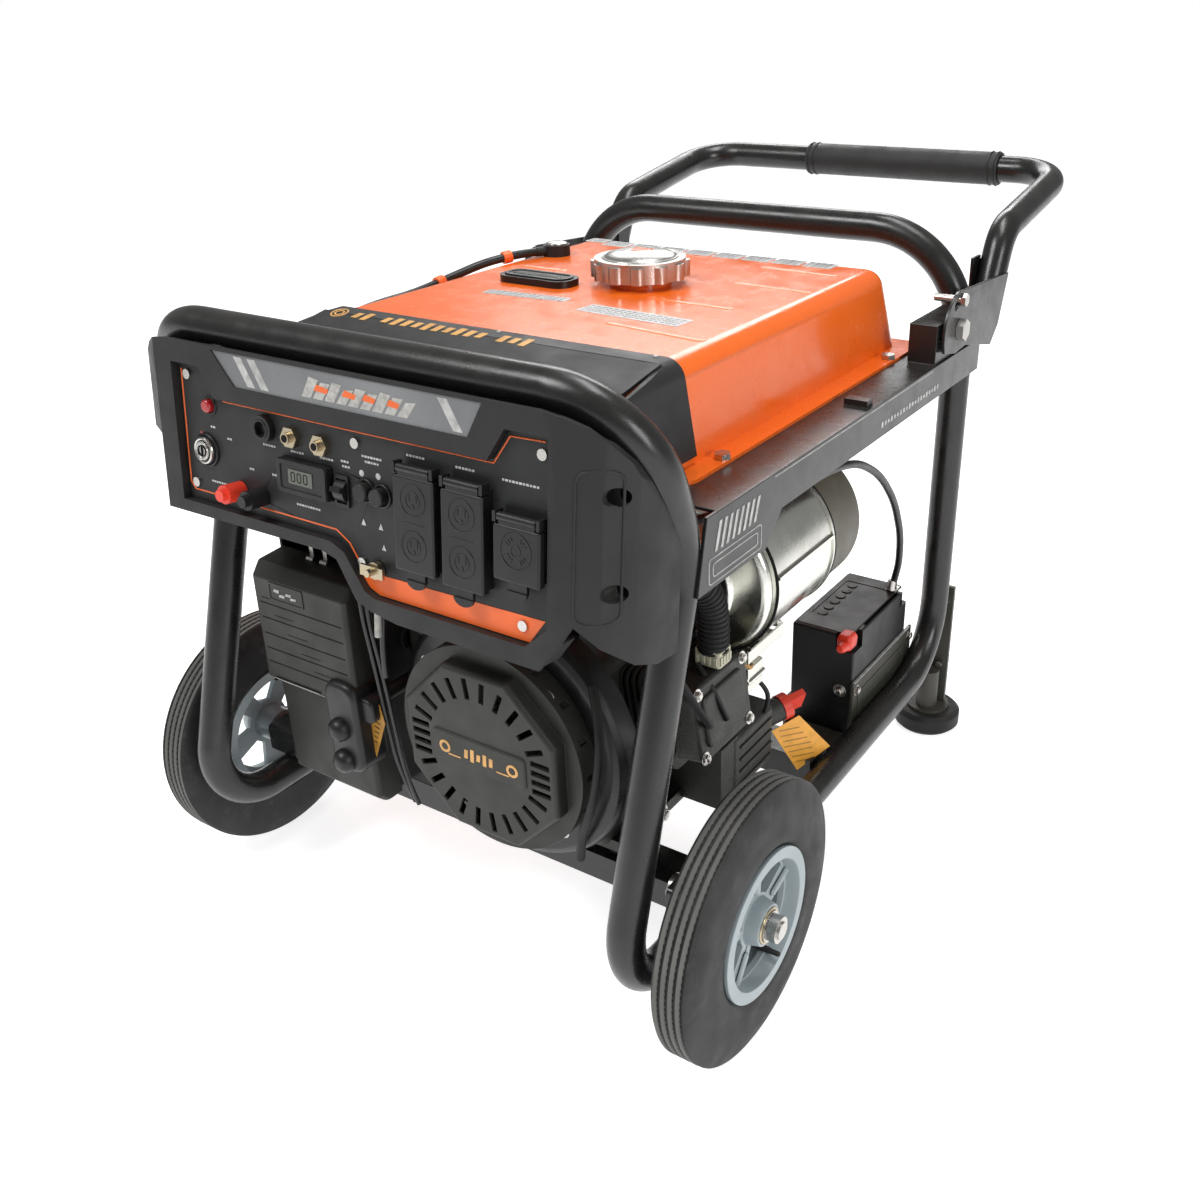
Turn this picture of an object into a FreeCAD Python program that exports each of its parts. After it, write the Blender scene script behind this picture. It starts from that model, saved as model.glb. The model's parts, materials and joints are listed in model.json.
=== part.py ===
import FreeCAD, Part
import math
import os
import Sketcher
from FreeCAD import Placement, Rotation, Vector

# Open-frame portable generator, in millimetres.
# +Z is up, -Y is the front (control panel), +X is the exhaust side.
# The origin is on the ground, in the middle of the object's footprint.

doc = FreeCAD.newDocument("generator")
sheet = doc.addObject("Spreadsheet::Sheet", "Sizes")

SIZES = {
    # frame tubes: centre lines
    "tube_radius": 16, "tube_wall": 2, "frame_half": 250, "shoulder_half": 260,
    "rail_height": 96, "hoop_back": 181, "hoop_top": 608, "heel_front": -506,
    "kink_front": -391, "kink_height": 468, "bar_front": -455, "bar_height": 600,
    "splice_place": -330, "heel_bend": 60, "kink_bend": 90, "shoulder_bend": 72,
    "hoop_bend": 105, "hoop_foot_bend": 85,
    # side rails, pressed from sheet
    "sheet_thick": 3, "side_top": 497, "side_tall": 35, "side_start": -402,
    "side_end": 198, "gusset_tall": 61, "gusset_long": 108, "ledge_wide": 52,
    "ledge_start": -372, "ledge_end": 162, "pivot_place": 115, "pivot_height": 525,
    "pivot_block_long": 92, "pivot_block_wide": 30, "pivot_block_tall": 40,
    # wheels
    "wheel_radius": 127, "wheel_width": 44, "wheel_middle": 299, "wheel_place": -376,
    "rim_radius": 70, "axle_radius": 8, "hub_radius": 19, "run_gap": 0.06,
    # rear feet
    "foot_radius": 40, "foot_tall": 25, "foot_place": 190,
    # control panel, in its own tilted plane
    "panel_front": -495.5, "panel_middle": 500, "panel_tilt": 6.2, "face_half": 211,
    "face_top": 96, "bezel_thick": 4, "plate_depth": 9, "plate_thick": 2,
    "box_depth": 44, "cover_tall": 75, "cover_wide": 40, "twist_side": 42,
    "cover_thick": 7, "outlet_proud": 5,
    # fuel tank
    "tank_half": 205, "tank_start": -330, "tank_end": 122, "tank_top": 581,
    "tank_flange": 226, "tank_seat": 497, "tank_bottom": 446, "tank_wall": 2,
    "tank_draft": 14, "tank_edge": 20, "cap_radius": 50, "cap_tall": 19,
    "cap_x": 3, "cap_y": -72, "neck_radius": 25,
    # engine, with its crankshaft along Y
    "crank_x": 70, "crank_z": 248, "recoil_front": -442, "recoil_radius": 84,
    "blower_radius": 125, "blower_front": -406, "blower_back": -376,
    "case_front": -374, "case_back": -232, "case_half": 82, "sump_bottom": 128,
    "shaft_radius": 14, "alternator_radius": 74, "alternator_end": -8,
    "bore_tilt": 8, "bore_middle": -292, "cylinder_side": 96,
    # air cleaner
    "cleaner_left": -202, "cleaner_right": -77, "cleaner_front": -442,
    "cleaner_bottom": 132, "cleaner_top": 398, "cleaner_deep": 92, "cleaner_lid": 42,
    # exhaust
    "muffler_x": 172, "muffler_z": 362, "muffler_radius": 76, "muffler_start": -232,
    "muffler_end": -40, "muffler_seam": -114,
    # battery
    "battery_left": 153.5, "battery_front": -8, "battery_bottom": 50,
    "battery_wide": 76, "battery_long": 150, "battery_tall": 156.5,
    # tow handle
    "arm_half": 254.8, "arm_foot": 243, "arm_foot_z": 515, "elbow_place": 281,
    "elbow_height": 598, "grip_bar": 496, "grip_height": 634, "grip_radius": 20,
    "grip_long": 268, "grip_shift": 43, "handle_plate": 269.7,
}

for row, (alias, value) in enumerate(SIZES.items(), start=1):
    sheet.set(f"A{row}", alias)
    sheet.set(f"B{row}", str(value))
    sheet.setAlias(f"B{row}", alias)
doc.recompute()

X_AXIS = Vector(1, 0, 0)
Y_AXIS = Vector(0, 1, 0)
Z_AXIS = Vector(0, 0, 1)
NODES = []


def dim(alias):
    """A driving dimension, read from the sheet."""
    return float(sheet.get(alias))


def node(item, label):
    """Marks a document object as one physical piece, kept in its own file."""
    item.Label = label
    NODES.append(item)
    return item


def bind(item, **expressions):
    """Binds properties to sheet cells; an expression names the cells by alias."""
    for prop, expression in expressions.items():
        words = str(expression).split()
        cells = ["Sizes." + w if w in SIZES else w for w in words]
        item.setExpression(prop, " ".join(cells))
    return item


def placed(x=0, y=0, z=0, axis=Z_AXIS, angle=0):
    return Placement(Vector(x, y, z), Rotation(axis, angle))


# ---------------------------------------------------------------- primitives

def box(name, long, deep, tall, place):
    item = doc.addObject("Part::Box", name)
    bind(item, Length=long, Width=deep, Height=tall)
    item.Placement = place
    return item


def cylinder(name, radius, height, place):
    item = doc.addObject("Part::Cylinder", name)
    bind(item, Radius=radius, Height=height)
    item.Placement = place
    return item


def fused(name, *items):
    item = doc.addObject("Part::MultiFuse", name)
    item.Shapes = list(items)
    return item


def cut(name, base, tool):
    item = doc.addObject("Part::Cut", name)
    item.Base = base
    item.Tool = tool
    return item


def common(name, first, second):
    item = doc.addObject("Part::MultiCommon", name)
    item.Shapes = [first, second]
    return item


def group(name, *items):
    """Identical pieces that share one node, kept as separate solids."""
    item = doc.addObject("Part::Compound", name)
    item.Links = list(items)
    return item


def along(direction):
    """The turn that lays a cylinder's own Z axis along a direction."""
    return Rotation(Z_AXIS, direction)


def rod(name, radius, height, start, direction):
    item = cylinder(name, radius, height, Placement())
    item.Placement = Placement(Vector(*start), along(direction))
    return item


def softened(name, base, radius, keep=lambda edge: True):
    """Rounds the edges of a primitive that the test keeps."""
    doc.recompute()
    item = doc.addObject("Part::Fillet", name)
    item.Base = base
    chosen = [i for i, e in enumerate(base.Shape.Edges, start=1) if keep(e)]
    item.Edges = [(i, radius, radius) for i in chosen]
    return item


def largest(item, label):
    """The biggest solid of a boolean result, without the slivers it leaves."""
    doc.recompute()
    keeper = doc.addObject("Part::Feature", label)
    keeper.Shape = max(item.Shape.Solids, key=lambda solid: solid.Volume)
    return keeper


def edge_runs(direction):
    """A test for straight edges that run along a direction."""
    def test(edge):
        if edge.Curve.TypeId != "Part::GeomLine":
            return False
        return abs(edge.tangentAt(edge.FirstParameter).dot(direction)) > 0.999
    return test


# ---------------------------------------------------------------- sketched bodies

def plane_of(body, role):
    return next(f for f in body.Origin.OriginFeatures if f.Role == role)


def new_sketch(body, name, role, outline, circles=()):
    """A sketch on one of the body's own planes: a closed outline and bound circles."""
    sketch = body.newObject("Sketcher::SketchObject", name)
    sketch.AttachmentSupport = [(plane_of(body, role), "")]
    sketch.MapMode = "FlatFace"
    points = [Vector(u, v, 0) for u, v in outline]
    for start, end in zip(points, points[1:] + points[:1]):
        sketch.addGeometry(Part.LineSegment(start, end))
    for u, v, radius in circles:
        value = dim(radius) if radius in SIZES else float(radius)
        edge = sketch.addGeometry(Part.Circle(Vector(u, v, 0), Z_AXIS, value))
        index = sketch.addConstraint(Sketcher.Constraint("Radius", edge, value))
        if radius in SIZES:
            sketch.setExpression(f"Constraints[{index}]", f"Sizes.{radius}")
    return sketch


def padded(label, role, outline, thick, place, circles=()):
    """A flat piece: an outline padded by a bound thickness."""
    body = doc.addObject("PartDesign::Body", label)
    sketch = new_sketch(body, label + "_outline", role, outline, circles)
    pad = body.newObject("PartDesign::Pad", label + "_pad")
    pad.Profile = sketch
    bind(pad, Length=thick)
    sketch.Visibility = False
    body.Placement = place
    return body


def turned(label, outline, place):
    """A turned piece: an outline of (radius, height) revolved about the upright axis."""
    body = doc.addObject("PartDesign::Body", label)
    sketch = new_sketch(body, label + "_outline", "XZ_Plane", outline)
    spin = body.newObject("PartDesign::Revolution", label + "_turn")
    spin.Profile = sketch
    spin.ReferenceAxis = (sketch, ["V_Axis"])
    spin.Angle = 360
    body.Placement = place
    return body


def arc_points(cx, cy, radius, start, end, steps):
    """Points on an arc, for an outline's round stretch; angles in degrees."""
    angles = [start + (end - start) * i / steps for i in range(steps + 1)]
    return [(cx + radius * math.cos(math.radians(a)),
             cy + radius * math.sin(math.radians(a))) for a in angles]


# ---------------------------------------------------------------- bent tubes

def bent_path(points, bends):
    """Straight runs joined by tangent arcs; bends are the radii at the inner points."""
    points = [Vector(*p) for p in points]
    edges = []
    start = points[0]
    for i, radius in enumerate(bends, start=1):
        back = (points[i - 1] - points[i]).normalize()
        ahead = (points[i + 1] - points[i]).normalize()
        half = back.getAngle(ahead) / 2
        reach = radius / math.tan(half)
        first = points[i] + back * reach
        last = points[i] + ahead * reach
        middle_line = (back + ahead).normalize()
        middle = points[i] + middle_line * (radius / math.sin(half) - radius)
        edges.append(Part.LineSegment(start, first).toShape())
        edges.append(Part.Arc(first, middle, last).toShape())
        start = last
    edges.append(Part.LineSegment(start, points[-1]).toShape())
    return Part.Wire(edges)


def swept(path, radius):
    """A round solid along a wire, with mitred or tangent joints."""
    start = path.Edges[0]
    direction = start.tangentAt(start.FirstParameter)
    centre = start.valueAt(start.FirstParameter)
    ring = Part.Wire([Part.Circle(centre, direction, radius).toShape()])
    return path.makePipeShell([ring], True, False)


def tube(label, points, bends, radius, wall=0):
    """A bent tube, hollow where a wall is given."""
    path = bent_path(points, bends)
    shape = swept(path, radius)
    if wall:
        shape = shape.cut(swept(path, radius - wall))
    item = doc.addObject("Part::Feature", label)
    item.Shape = shape
    return item


def mirrored(points):
    """A path and its mirror image across the middle plane, end to end."""
    return points + [(-x, y, z) for x, y, z in reversed(points)]


def route_radii(points):
    """The bend at each inner point of a hose: 0.45 of the shorter run."""
    points = [Vector(*p) for p in points]
    radii = []
    for before, here, after in zip(points, points[1:], points[2:]):
        back = before - here
        ahead = after - here
        turn = math.pi - back.getAngle(ahead)
        radii.append(0.45 * min(back.Length, ahead.Length) / math.tan(turn / 2))
    return radii


def print_route(label, points, radius):
    """Prints a cord's length, its tightest bend and how its volume compares."""
    radii = route_radii(points)
    length = bent_path(points, radii).Length
    volume = doc.getObject(label).Shape.Volume
    section = math.pi * radius * radius * length
    print(f"{label}: radius {radius} mm, length {length:.1f} mm, bends {min(radii):.0f} to {max(radii):.0f} mm, "
          f"volume {volume:.0f} against {section:.0f} mm3")


# ---------------------------------------------------------------- frame

def hoop_route():
    """Corner points and bend radii of the front hoop, up one leg and down the other."""
    half = dim("frame_half")
    low = dim("rail_height")
    points = mirrored([
        (half, dim("splice_place"), low),
        (half, dim("heel_front"), low),
        (half, dim("kink_front"), dim("kink_height")),
        (dim("shoulder_half"), dim("bar_front"), dim("bar_height")),
    ])
    bends = [dim("heel_bend"), dim("kink_bend"), dim("shoulder_bend")]
    return points, bends + bends[::-1]


def build_frame():
    half = dim("frame_half")
    low = dim("rail_height")
    splice = dim("splice_place")
    radius = dim("tube_radius")
    wall = dim("tube_wall")
    node(tube("front_hoop", *hoop_route(), radius, wall), "front_hoop")
    back = mirrored([
        (half, splice, low),
        (half, dim("hoop_back"), low),
        (half, dim("hoop_back"), dim("hoop_top")),
    ])
    bends = [dim("hoop_foot_bend"), dim("hoop_bend")]
    node(tube("rear_hoop", back, bends + bends[::-1], radius, wall), "rear_hoop")


def build_side_rail(name, side):
    """Pressed rail outside the legs: upright web, ledge under the tank, pivot block."""
    thick = dim("sheet_thick")
    half_tube = dim("frame_half") + dim("tube_radius")
    top = dim("side_top")
    start = dim("side_start")
    end = dim("side_end")
    deep = dim("gusset_tall")
    step = start + dim("gusset_long")
    web_outline = [
        (start + 14, top), (end, top), (end, top - dim("side_tall")),
        (step + 26, top - dim("side_tall")), (step, top - deep), (start, top - deep),
    ]
    x = half_tube if side > 0 else -half_tube - thick
    web = padded(name + "_web", "YZ_Plane", web_outline, "sheet_thick", placed(x))
    ledge_in = dim("ledge_wide")
    x = half_tube - ledge_in if side > 0 else -half_tube
    ledge = box(name + "_ledge", "ledge_wide", "ledge_end - ledge_start", "sheet_thick",
                placed(x, dim("ledge_start"), top - thick))
    block_x = half_tube - dim("pivot_block_wide") if side > 0 else -half_tube
    block = box(name + "_block", "pivot_block_wide", "pivot_block_long",
                "pivot_block_tall", placed(block_x, dim("ledge_end") - dim("pivot_block_long"), top))
    hollow_x = block_x - 1 if side > 0 else block_x + thick
    hollow = box(name + "_hollow", "pivot_block_wide - sheet_thick + 1",
                 "pivot_block_long - 2 * sheet_thick", "pivot_block_tall",
                 placed(hollow_x, dim("ledge_end") - dim("pivot_block_long") + thick, top - thick))
    channel = cut(name + "_channel", block, hollow)
    tab_x = half_tube - 26 if side > 0 else -half_tube + 2
    tab = box(name + "_tab", 24, 12, "2 * sheet_thick", placed(tab_x, -92, top))
    bolt_hole = rod(name + "_pivot_hole", 5.05, 60, (side * 300, dim("pivot_place"), dim("pivot_height")),
                    X_AXIS * -side)
    lock_hole = rod(name + "_lock_hole", 4, 60, lock_point(side * 300), X_AXIS * -side)
    whole = fused(name + "_solid", web, ledge, channel, tab)
    drilled = cut(name, whole, fused(name + "_holes", bolt_hole, lock_hole))
    node(drilled, name)


LOCK_RADIUS = 30
LOCK_ANGLE = 84


def lock_point(x):
    """The lock pin, on an arc round the handle's pivot."""
    angle = math.radians(LOCK_ANGLE)
    return (x, dim("pivot_place") + LOCK_RADIUS * math.cos(angle),
            dim("pivot_height") + LOCK_RADIUS * math.sin(angle))


def build_cross_members():
    """Two pressed channels between the bottom rails, open downwards."""
    wide = dim("frame_half") - dim("tube_radius")
    bars = []
    for i, y in enumerate((-338, -96)):
        outer = box(f"cross_outer_{i}", "2 * frame_half - 2 * tube_radius", 44, 30,
                    placed(-wide, y - 22, 82))
        inner = box(f"cross_inner_{i}", "2 * frame_half - 2 * tube_radius", 38, 27,
                    placed(-wide, y - 19, 82))
        bars.append(cut(f"cross_bar_{i}", outer, inner))
    node(group("cross_members", *bars), "cross_members")


def build_wheel_axles():
    """Stub axle bolts and the bored brackets that sit on the bottom rails."""
    y = dim("wheel_place")
    z = dim("wheel_radius")
    stubs = []
    brackets = []
    for side, word in ((1, "right"), (-1, "left")):
        axis = X_AXIS * side
        shaft = rod(f"stub_{word}", "axle_radius", 103, (side * 233, y, z), axis)
        head = rod(f"stub_head_{word}", 13, 8, (side * 226, y, z), axis)
        nut = rod(f"stub_nut_{word}", 12, 9, (side * 325, y, z), axis)
        washer = rod(f"stub_washer_{word}", 14, 2.4, (side * 322.4, y, z), axis)
        stub = fused(f"axle_bolt_{word}", shaft, head, washer, nut)
        stubs.append(stub)
        x = 234 if side > 0 else -272
        block = box(f"axle_block_{word}", 38, 50, 33, placed(x, y - 25, z - 15))
        block = softened(f"axle_block_round_{word}", block, 6, edge_runs(X_AXIS))
        hole = rod(f"axle_hole_{word}", "axle_radius + run_gap", 60, (side * 225, y, z), axis)
        brackets.append(cut(f"axle_bracket_{word}", block, hole))
    node(group("wheel_axles", *stubs), "wheel_axles")
    node(group("axle_brackets", *brackets), "axle_brackets")


def build_feet():
    """Rubber pads under flat steel uprights bolted behind the rear legs."""
    back = dim("hoop_back") + dim("tube_radius")
    pads = []
    bars = []
    for side, word in ((1, "right"), (-1, "left")):
        x = side * dim("frame_half")
        bar = box(f"foot_bar_{word}", 36, 5, 162, placed(x - 18, back, 28))
        plate = rod(f"foot_plate_{word}", 26, 4, (x, dim("foot_place"), 25), Z_AXIS)
        stem = rod(f"foot_stem_{word}", 13, 52, (x, dim("foot_place") - 6, 27), Z_AXIS)
        bars.append(fused(f"foot_bracket_{word}", bar, plate, stem))
        lip = 5
        radius = dim("foot_radius")
        tall = dim("foot_tall")
        pad = turned(f"foot_pad_{word}", [
            (0, 0), (radius - lip, 0), (radius, lip), (radius, tall - lip),
            (radius - lip, tall), (0, tall)], placed(x, dim("foot_place")))
        pads.append(pad)
    node(group("foot_brackets", *bars), "foot_brackets")
    node(group("rear_feet", *pads), "rear_feet")


def build_frame_bolts():
    """Hexagon bolts of the feet, the tank and the handle pivots, with the lock pins."""
    bolts = []
    back = dim("hoop_back") + dim("tube_radius") + 5
    for side in (1, -1):
        word = "right" if side > 0 else "left"
        x = side * dim("frame_half")
        for i, z in enumerate((84, 170)):
            bolts.append(bolt(f"foot_bolt_{word}_{i}", (x + side * 9, back, z), Y_AXIS, 4, 7, 12))
        outer = dim("handle_plate") + 3.3
        pivot = (side * outer, dim("pivot_place"), dim("pivot_height"))
        spacer = rod(f"pivot_spacer_{word}", 9, 3.2, (side * 266.2, *pivot[1:]), X_AXIS * side)
        screw = bolt(f"pivot_screw_{word}", pivot, X_AXIS * side, 5, 10, 30)
        bolts.append(fused(f"pivot_bolt_{word}", screw, spacer))
        bolts.append(bolt(f"lock_pin_{word}", lock_point(side * outer), X_AXIS * side, 3.9, 6, 30))
        for i, y in enumerate((-280, 60)):
            spot = (side * 219, y, dim("tank_seat") + 3)
            bolts.append(bolt(f"tank_bolt_{word}_{i}", spot, Z_AXIS, 4, 6.5, 12))
    node(group("frame_bolts", *bolts), "frame_bolts")


def bolt(name, seat, direction, radius, flat, grip):
    """A bolt whose hexagon head rests on its seat and points along a direction."""
    head = doc.addObject("Part::Prism", name + "_head")
    head.Polygon = 6
    head.Circumradius = flat / math.cos(math.pi / 6)
    head.Height = flat * 0.75
    head.Placement = Placement(Vector(*seat), along(direction))
    seat_point = Vector(*seat)
    foot = seat_point - direction * grip
    shank = rod(name + "_shank", radius, grip, tuple(foot), direction)
    return fused(name, head, shank)


# ---------------------------------------------------------------- wheels

def build_wheel(word, side):
    """A five-spoke rim and its tyre, both turned about the stub axle."""
    place = Placement(Vector(side * dim("wheel_middle"), dim("wheel_place"), dim("wheel_radius")),
                      along(X_AXIS * side))
    rim_r = dim("rim_radius")
    half = dim("wheel_width") / 2
    bore = dim("axle_radius") + dim("run_gap")
    hub = dim("hub_radius")
    lip = rim_r - 5
    rim = turned("rim_" + word, [
        (bore, -half + 2), (hub, -half + 2), (hub, 4), (lip - 6, 4), (lip - 6, -half + 4),
        (rim_r, -half + 4), (rim_r, -half + 8), (lip, -half + 10), (lip, half - 6),
        (rim_r, half - 3), (rim_r, half + 1), (lip - 6, half + 1), (lip - 9, 10),
        (hub + 3, 10), (hub, half + 1), (bore, half + 1)], place)
    opening = spoke_window(rim, hub + 6, lip - 11)
    pocket = rim.newObject("PartDesign::Pocket", "rim_window_" + word)
    pocket.Profile = opening
    pocket.Type = "ThroughAll"
    pocket.Midplane = True
    ring = rim.newObject("PartDesign::PolarPattern", "rim_windows_" + word)
    ring.Originals = [pocket]
    ring.Axis = (opening, ["N_Axis"])
    ring.Angle = 360
    ring.Occurrences = 5
    rim.Tip = ring
    node(rim, "rim_" + word)
    big = dim("wheel_radius")
    tread = 13
    groove = 2.2
    outline = [(rim_r + 0.3, -half + 7), (rim_r + 6, -half), (big - 18, -half + 1), (big - 3, -tread - 3)]
    for i in range(4):
        start = -tread + i * 7
        outline += [(big, start), (big, start + 3.5), (big - groove, start + 4.4), (big - groove, start + 6.1)]
    outline += [(big, tread + 2), (big - 4, tread + 4), (big - 20, half - 1), (rim_r + 6, half),
                (rim_r + 0.3, half - 3)]
    outline += [(lip + 0.3, half - 7), (lip + 0.3, -half + 11)]
    node(turned("tyre_" + word, outline, place), "tyre_" + word)


def spoke_window(body, inner, outer):
    """A curved opening between two spokes, in the rim's own plane."""
    window = arc_points(0, 0, outer, -23, 23, 8) + arc_points(0, 0, inner, 14, -14, 4)
    return new_sketch(body, body.Name + "_window", "XY_Plane", window)


# ---------------------------------------------------------------- control panel

PANEL = Placement(Vector(0, dim("panel_front"), dim("panel_middle")),
                  Rotation(X_AXIS, -dim("panel_tilt")))


def on_panel(x, depth, height, axis=Z_AXIS, angle=0):
    """A place in the panel's plane: across, behind its face, and up it."""
    return PANEL.multiply(placed(x, depth, height, axis, angle))


def panel_rod(name, radius, length, x, depth, height):
    """A round piece that runs from a depth back into the panel."""
    item = cylinder(name, radius, length, Placement())
    item.Placement = on_panel(x, depth, height, X_AXIS, -90)
    return item


def panel_box(name, wide, deep, tall, x, depth, height):
    """A block centred across and up the panel, starting at a depth."""
    item = box(name, wide, deep, tall, Placement())
    value = {k: dim(k) if k in SIZES else float(k) for k in (wide, tall)}
    item.Placement = on_panel(x - value[wide] / 2, depth, height - value[tall] / 2)
    return item


PLATE_OUTLINE = [
    (-190, 77), (-190, -42), (-12, -42), (3, -48), (24, -76), (34, -80), (184, -80),
    (204, -62), (204, 78), (166, 78), (150, 53), (-140, 53), (-156, 77),
]
SIGN_OUTLINE = [(-138, 93), (-112, 66), (132, 66), (146, 93)]


def build_bezel():
    """Moulded surround: flat face, swept wings, an opening and a sloped sign window."""
    half = dim("face_half")
    thick = dim("bezel_thick")
    right = [(half, 0), (240, 15), (257, 35), (264, 60), (265, 84)]
    plan = [(x, y) for x, y in right]
    inner = [(x - thick * 0.8, y + thick * 0.6) for x, y in reversed(right[1:])]
    skin = plan + [(262, 84)] + inner[1:] + [(half - 1, thick), (-half + 1, thick)]
    skin += [(-x, y) for x, y in inner[::-1][:-1]] + [(-262, 84)]
    skin += [(-x, y) for x, y in reversed(right)]
    tall = 400
    shell = padded("bezel_shell", "XY_Plane", skin, tall, Placement())
    shell.Placement = on_panel(0, 0, -150)
    top = dim("face_top")
    corner = arc_points(196, 30, 66, 90, 0, 6)
    outline = [(-x, y) for x, y in corner[::-1]] + corner + [
        (263, -92),
        (222, -57), (212, -75), (197, -96), (58, -96), (30, -92), (14, -86),
        (-6, -56), (-22, -52), (-half, -53), (-half - 1, 12), (-262, 12),
    ]
    stencil = padded("bezel_stencil", "XZ_Plane", outline, 220, Placement())
    stencil.Placement = on_panel(0, 110, 0)
    face = common("bezel_face", shell, stencil)
    opening = padded("bezel_opening", "XZ_Plane", PLATE_OUTLINE, 40, Placement())
    opening.Placement = on_panel(0, 20, 0)
    sign = padded("bezel_sign", "XZ_Plane", SIGN_OUTLINE, 20, Placement())
    sign.Placement = on_panel(0, 10, 0)
    collar = offset_collar("bezel_collar", PLATE_OUTLINE, 3, dim("plate_depth"))
    return_wall = offset_collar("bezel_return", LOWER_EDGE, 3, 26, closed=False)
    whole = fused("bezel_whole", face, collar, return_wall)
    holes = [panel_rod(f"bezel_bolt_hole_{i}", 7, 80, 246, -20, z) for i, z in enumerate((39.5, -31))]
    clearance = tube("bezel_hoop_room", *hoop_route(), dim("tube_radius") + 0.4)
    tools = fused("bezel_tools", opening, sign, clearance, *holes)
    node(largest(cut("bezel_trimmed", whole, tools), "panel_bezel"), "panel_bezel")


LOWER_EDGE = [
    (-209, 80), (-209, -50), (-22, -49.5), (-4, -53), (16, -83.5), (31, -89.5),
    (58, -93), (196, -93), (209, -74),
]


def offset_collar(name, outline, thick, deep, closed=True):
    """An upright wall of even thickness along an outline, behind the face."""
    points = [Vector(x, 0, z) for x, z in outline]
    if closed:
        points.append(points[0])
    wire = Part.makePolygon(points)
    if closed:
        face = Part.Face(wire)
        grown = wire.makeOffset2D(thick, 2)
        ring = Part.Face(grown).cut(face)
    else:
        ring = wire.makeOffset2D(-thick / 2, 2, True, True)
    item = doc.addObject("Part::Feature", name)
    item.Shape = ring.extrude(Vector(0, deep, 0))
    item.Placement = PANEL
    return item


SCREW_PLACES = [(-178, 67), (-178, -26), (15, 41), (195, 64), (178, -67), (17, -55)]
COVERS = {"outlet_cover_left": (83, 34, "cover_wide", "cover_tall"),
          "outlet_cover_right": (130, 32, "cover_wide", "cover_tall"),
          "twist_cover": (180, 16, "twist_side", "twist_side")}
KEY_PLACE = (-161, 5)
ROCKER_PLACE = (-1, 0)
METER_PLACE = (-40, 3)
BREAKERS = {"breaker_left": (24, 5), "breaker_right": (41, 4)}
TERMINALS = {"dc_terminal_red": (-122, -23), "dc_terminal_black": (-95, -23)}
HINGE_DEPTH = -2.2
PIN_RADIUS = 1.5


def build_panel_plate():
    """Instrument plate at the bottom of the opening, bored for every control."""
    deep = dim("plate_depth")
    plate = padded("plate_blank", "XZ_Plane", PLATE_OUTLINE, "plate_thick", Placement(),
                   circles=[(*KEY_PLACE, 8.06), (*BREAKERS["breaker_left"], 7.06),
                            (*BREAKERS["breaker_right"], 7.06)]
                   + [(*spot, 3.05) for spot in TERMINALS.values()])
    plate.Placement = on_panel(0, deep, 0)
    collar = panel_rod("key_collar", 12, 4, KEY_PLACE[0], deep - 6, KEY_PLACE[1])
    bore = panel_rod("key_bore", 8.06, 20, KEY_PLACE[0], -5, KEY_PLACE[1])
    slot = panel_box("rocker_slot", "12", 10, "20", ROCKER_PLACE[0], deep - 6, ROCKER_PLACE[1])
    window = panel_box("meter_window", "55.4", 10, "27.4", METER_PLACE[0], deep - 6, METER_PLACE[1])
    tools = fused("plate_tools", bore, slot, window)
    whole = cut("plate_cut", fused("plate_whole", plate, collar), tools)
    node(whole, "panel_plate")


def build_panel_box():
    """Steel enclosure behind the plate, open to the front."""
    outer = [(-196, 55), (-196, -44), (-8, -44), (26, -80), (190, -80), (190, 55)]
    inner = [(-193, 52), (-193, -41), (-9, -41), (25, -77), (187, -77), (187, 52)]
    start = dim("plate_depth") + 0.2
    deep = dim("box_depth")
    shell = padded("box_outer", "XZ_Plane", outer, "box_depth", Placement())
    shell.Placement = on_panel(0, start + deep, 0)
    room = padded("box_inner", "XZ_Plane", inner, "box_depth", Placement())
    room.Placement = on_panel(0, start + deep - 2, 0)
    node(cut("panel_box", shell, room), "panel_box")


def build_panel_fittings():
    """Lamp, meter, sockets, screws and the earth terminal, all fixed to the plate."""
    face = dim("plate_depth") - dim("plate_thick")
    lamp = panel_rod("lamp_lens", 5.5, 6, -153, face - 6, 44)
    node(softened("pilot_lamp", lamp, 2, lambda e: e.BoundBox.ZMin > 0 and is_front(e, face - 5.9)),
         "pilot_lamp")
    ring = panel_rod("input_ring", 11, 6, -86, face - 6, 36)
    well = panel_rod("input_well", 7, 4, -86, face - 6, 36)
    sockets = [cut("input_socket", ring, well)]
    for i, (x, z) in enumerate(((-55, 34), (-22, 33))):
        nut = doc.addObject("Part::Prism", f"reset_nut_{i}")
        nut.Polygon = 6
        nut.Circumradius = 9
        nut.Height = 5
        nut.Placement = on_panel(x, face - 5, z, X_AXIS, -90)
        tip = panel_rod(f"reset_tip_{i}", 4.5, 9, x, face - 9, z)
        sockets.append(fused(f"reset_button_{i}", nut, tip))
    node(group("panel_sockets", *sockets), "panel_sockets")
    x, z = METER_PLACE
    node(panel_box("digital_meter", "55", 26, "27", x, face - 7, z), "digital_meter")
    heads = [panel_rod(f"screw_head_{i}", 4.2, 2.2, x, face - 2.2, z)
             for i, (x, z) in enumerate(SCREW_PLACES)]
    node(group("panel_screws", *heads), "panel_screws")
    stud = panel_rod("earth_stud", 3, 14, 34, face - 14, -57)
    disc = panel_rod("earth_disc", 7, 5, 34, face - 6, -57)
    wing = panel_box("earth_wing", "24", 2.5, "9", 34, face - 9, -57)
    node(fused("ground_terminal", stud, disc, wing), "ground_terminal")


def is_front(edge, depth):
    """Whether an edge lies in front of a depth in the panel's plane."""
    middle = PANEL.inverse().multVec(edge.CenterOfMass)
    return middle.y < depth


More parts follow.
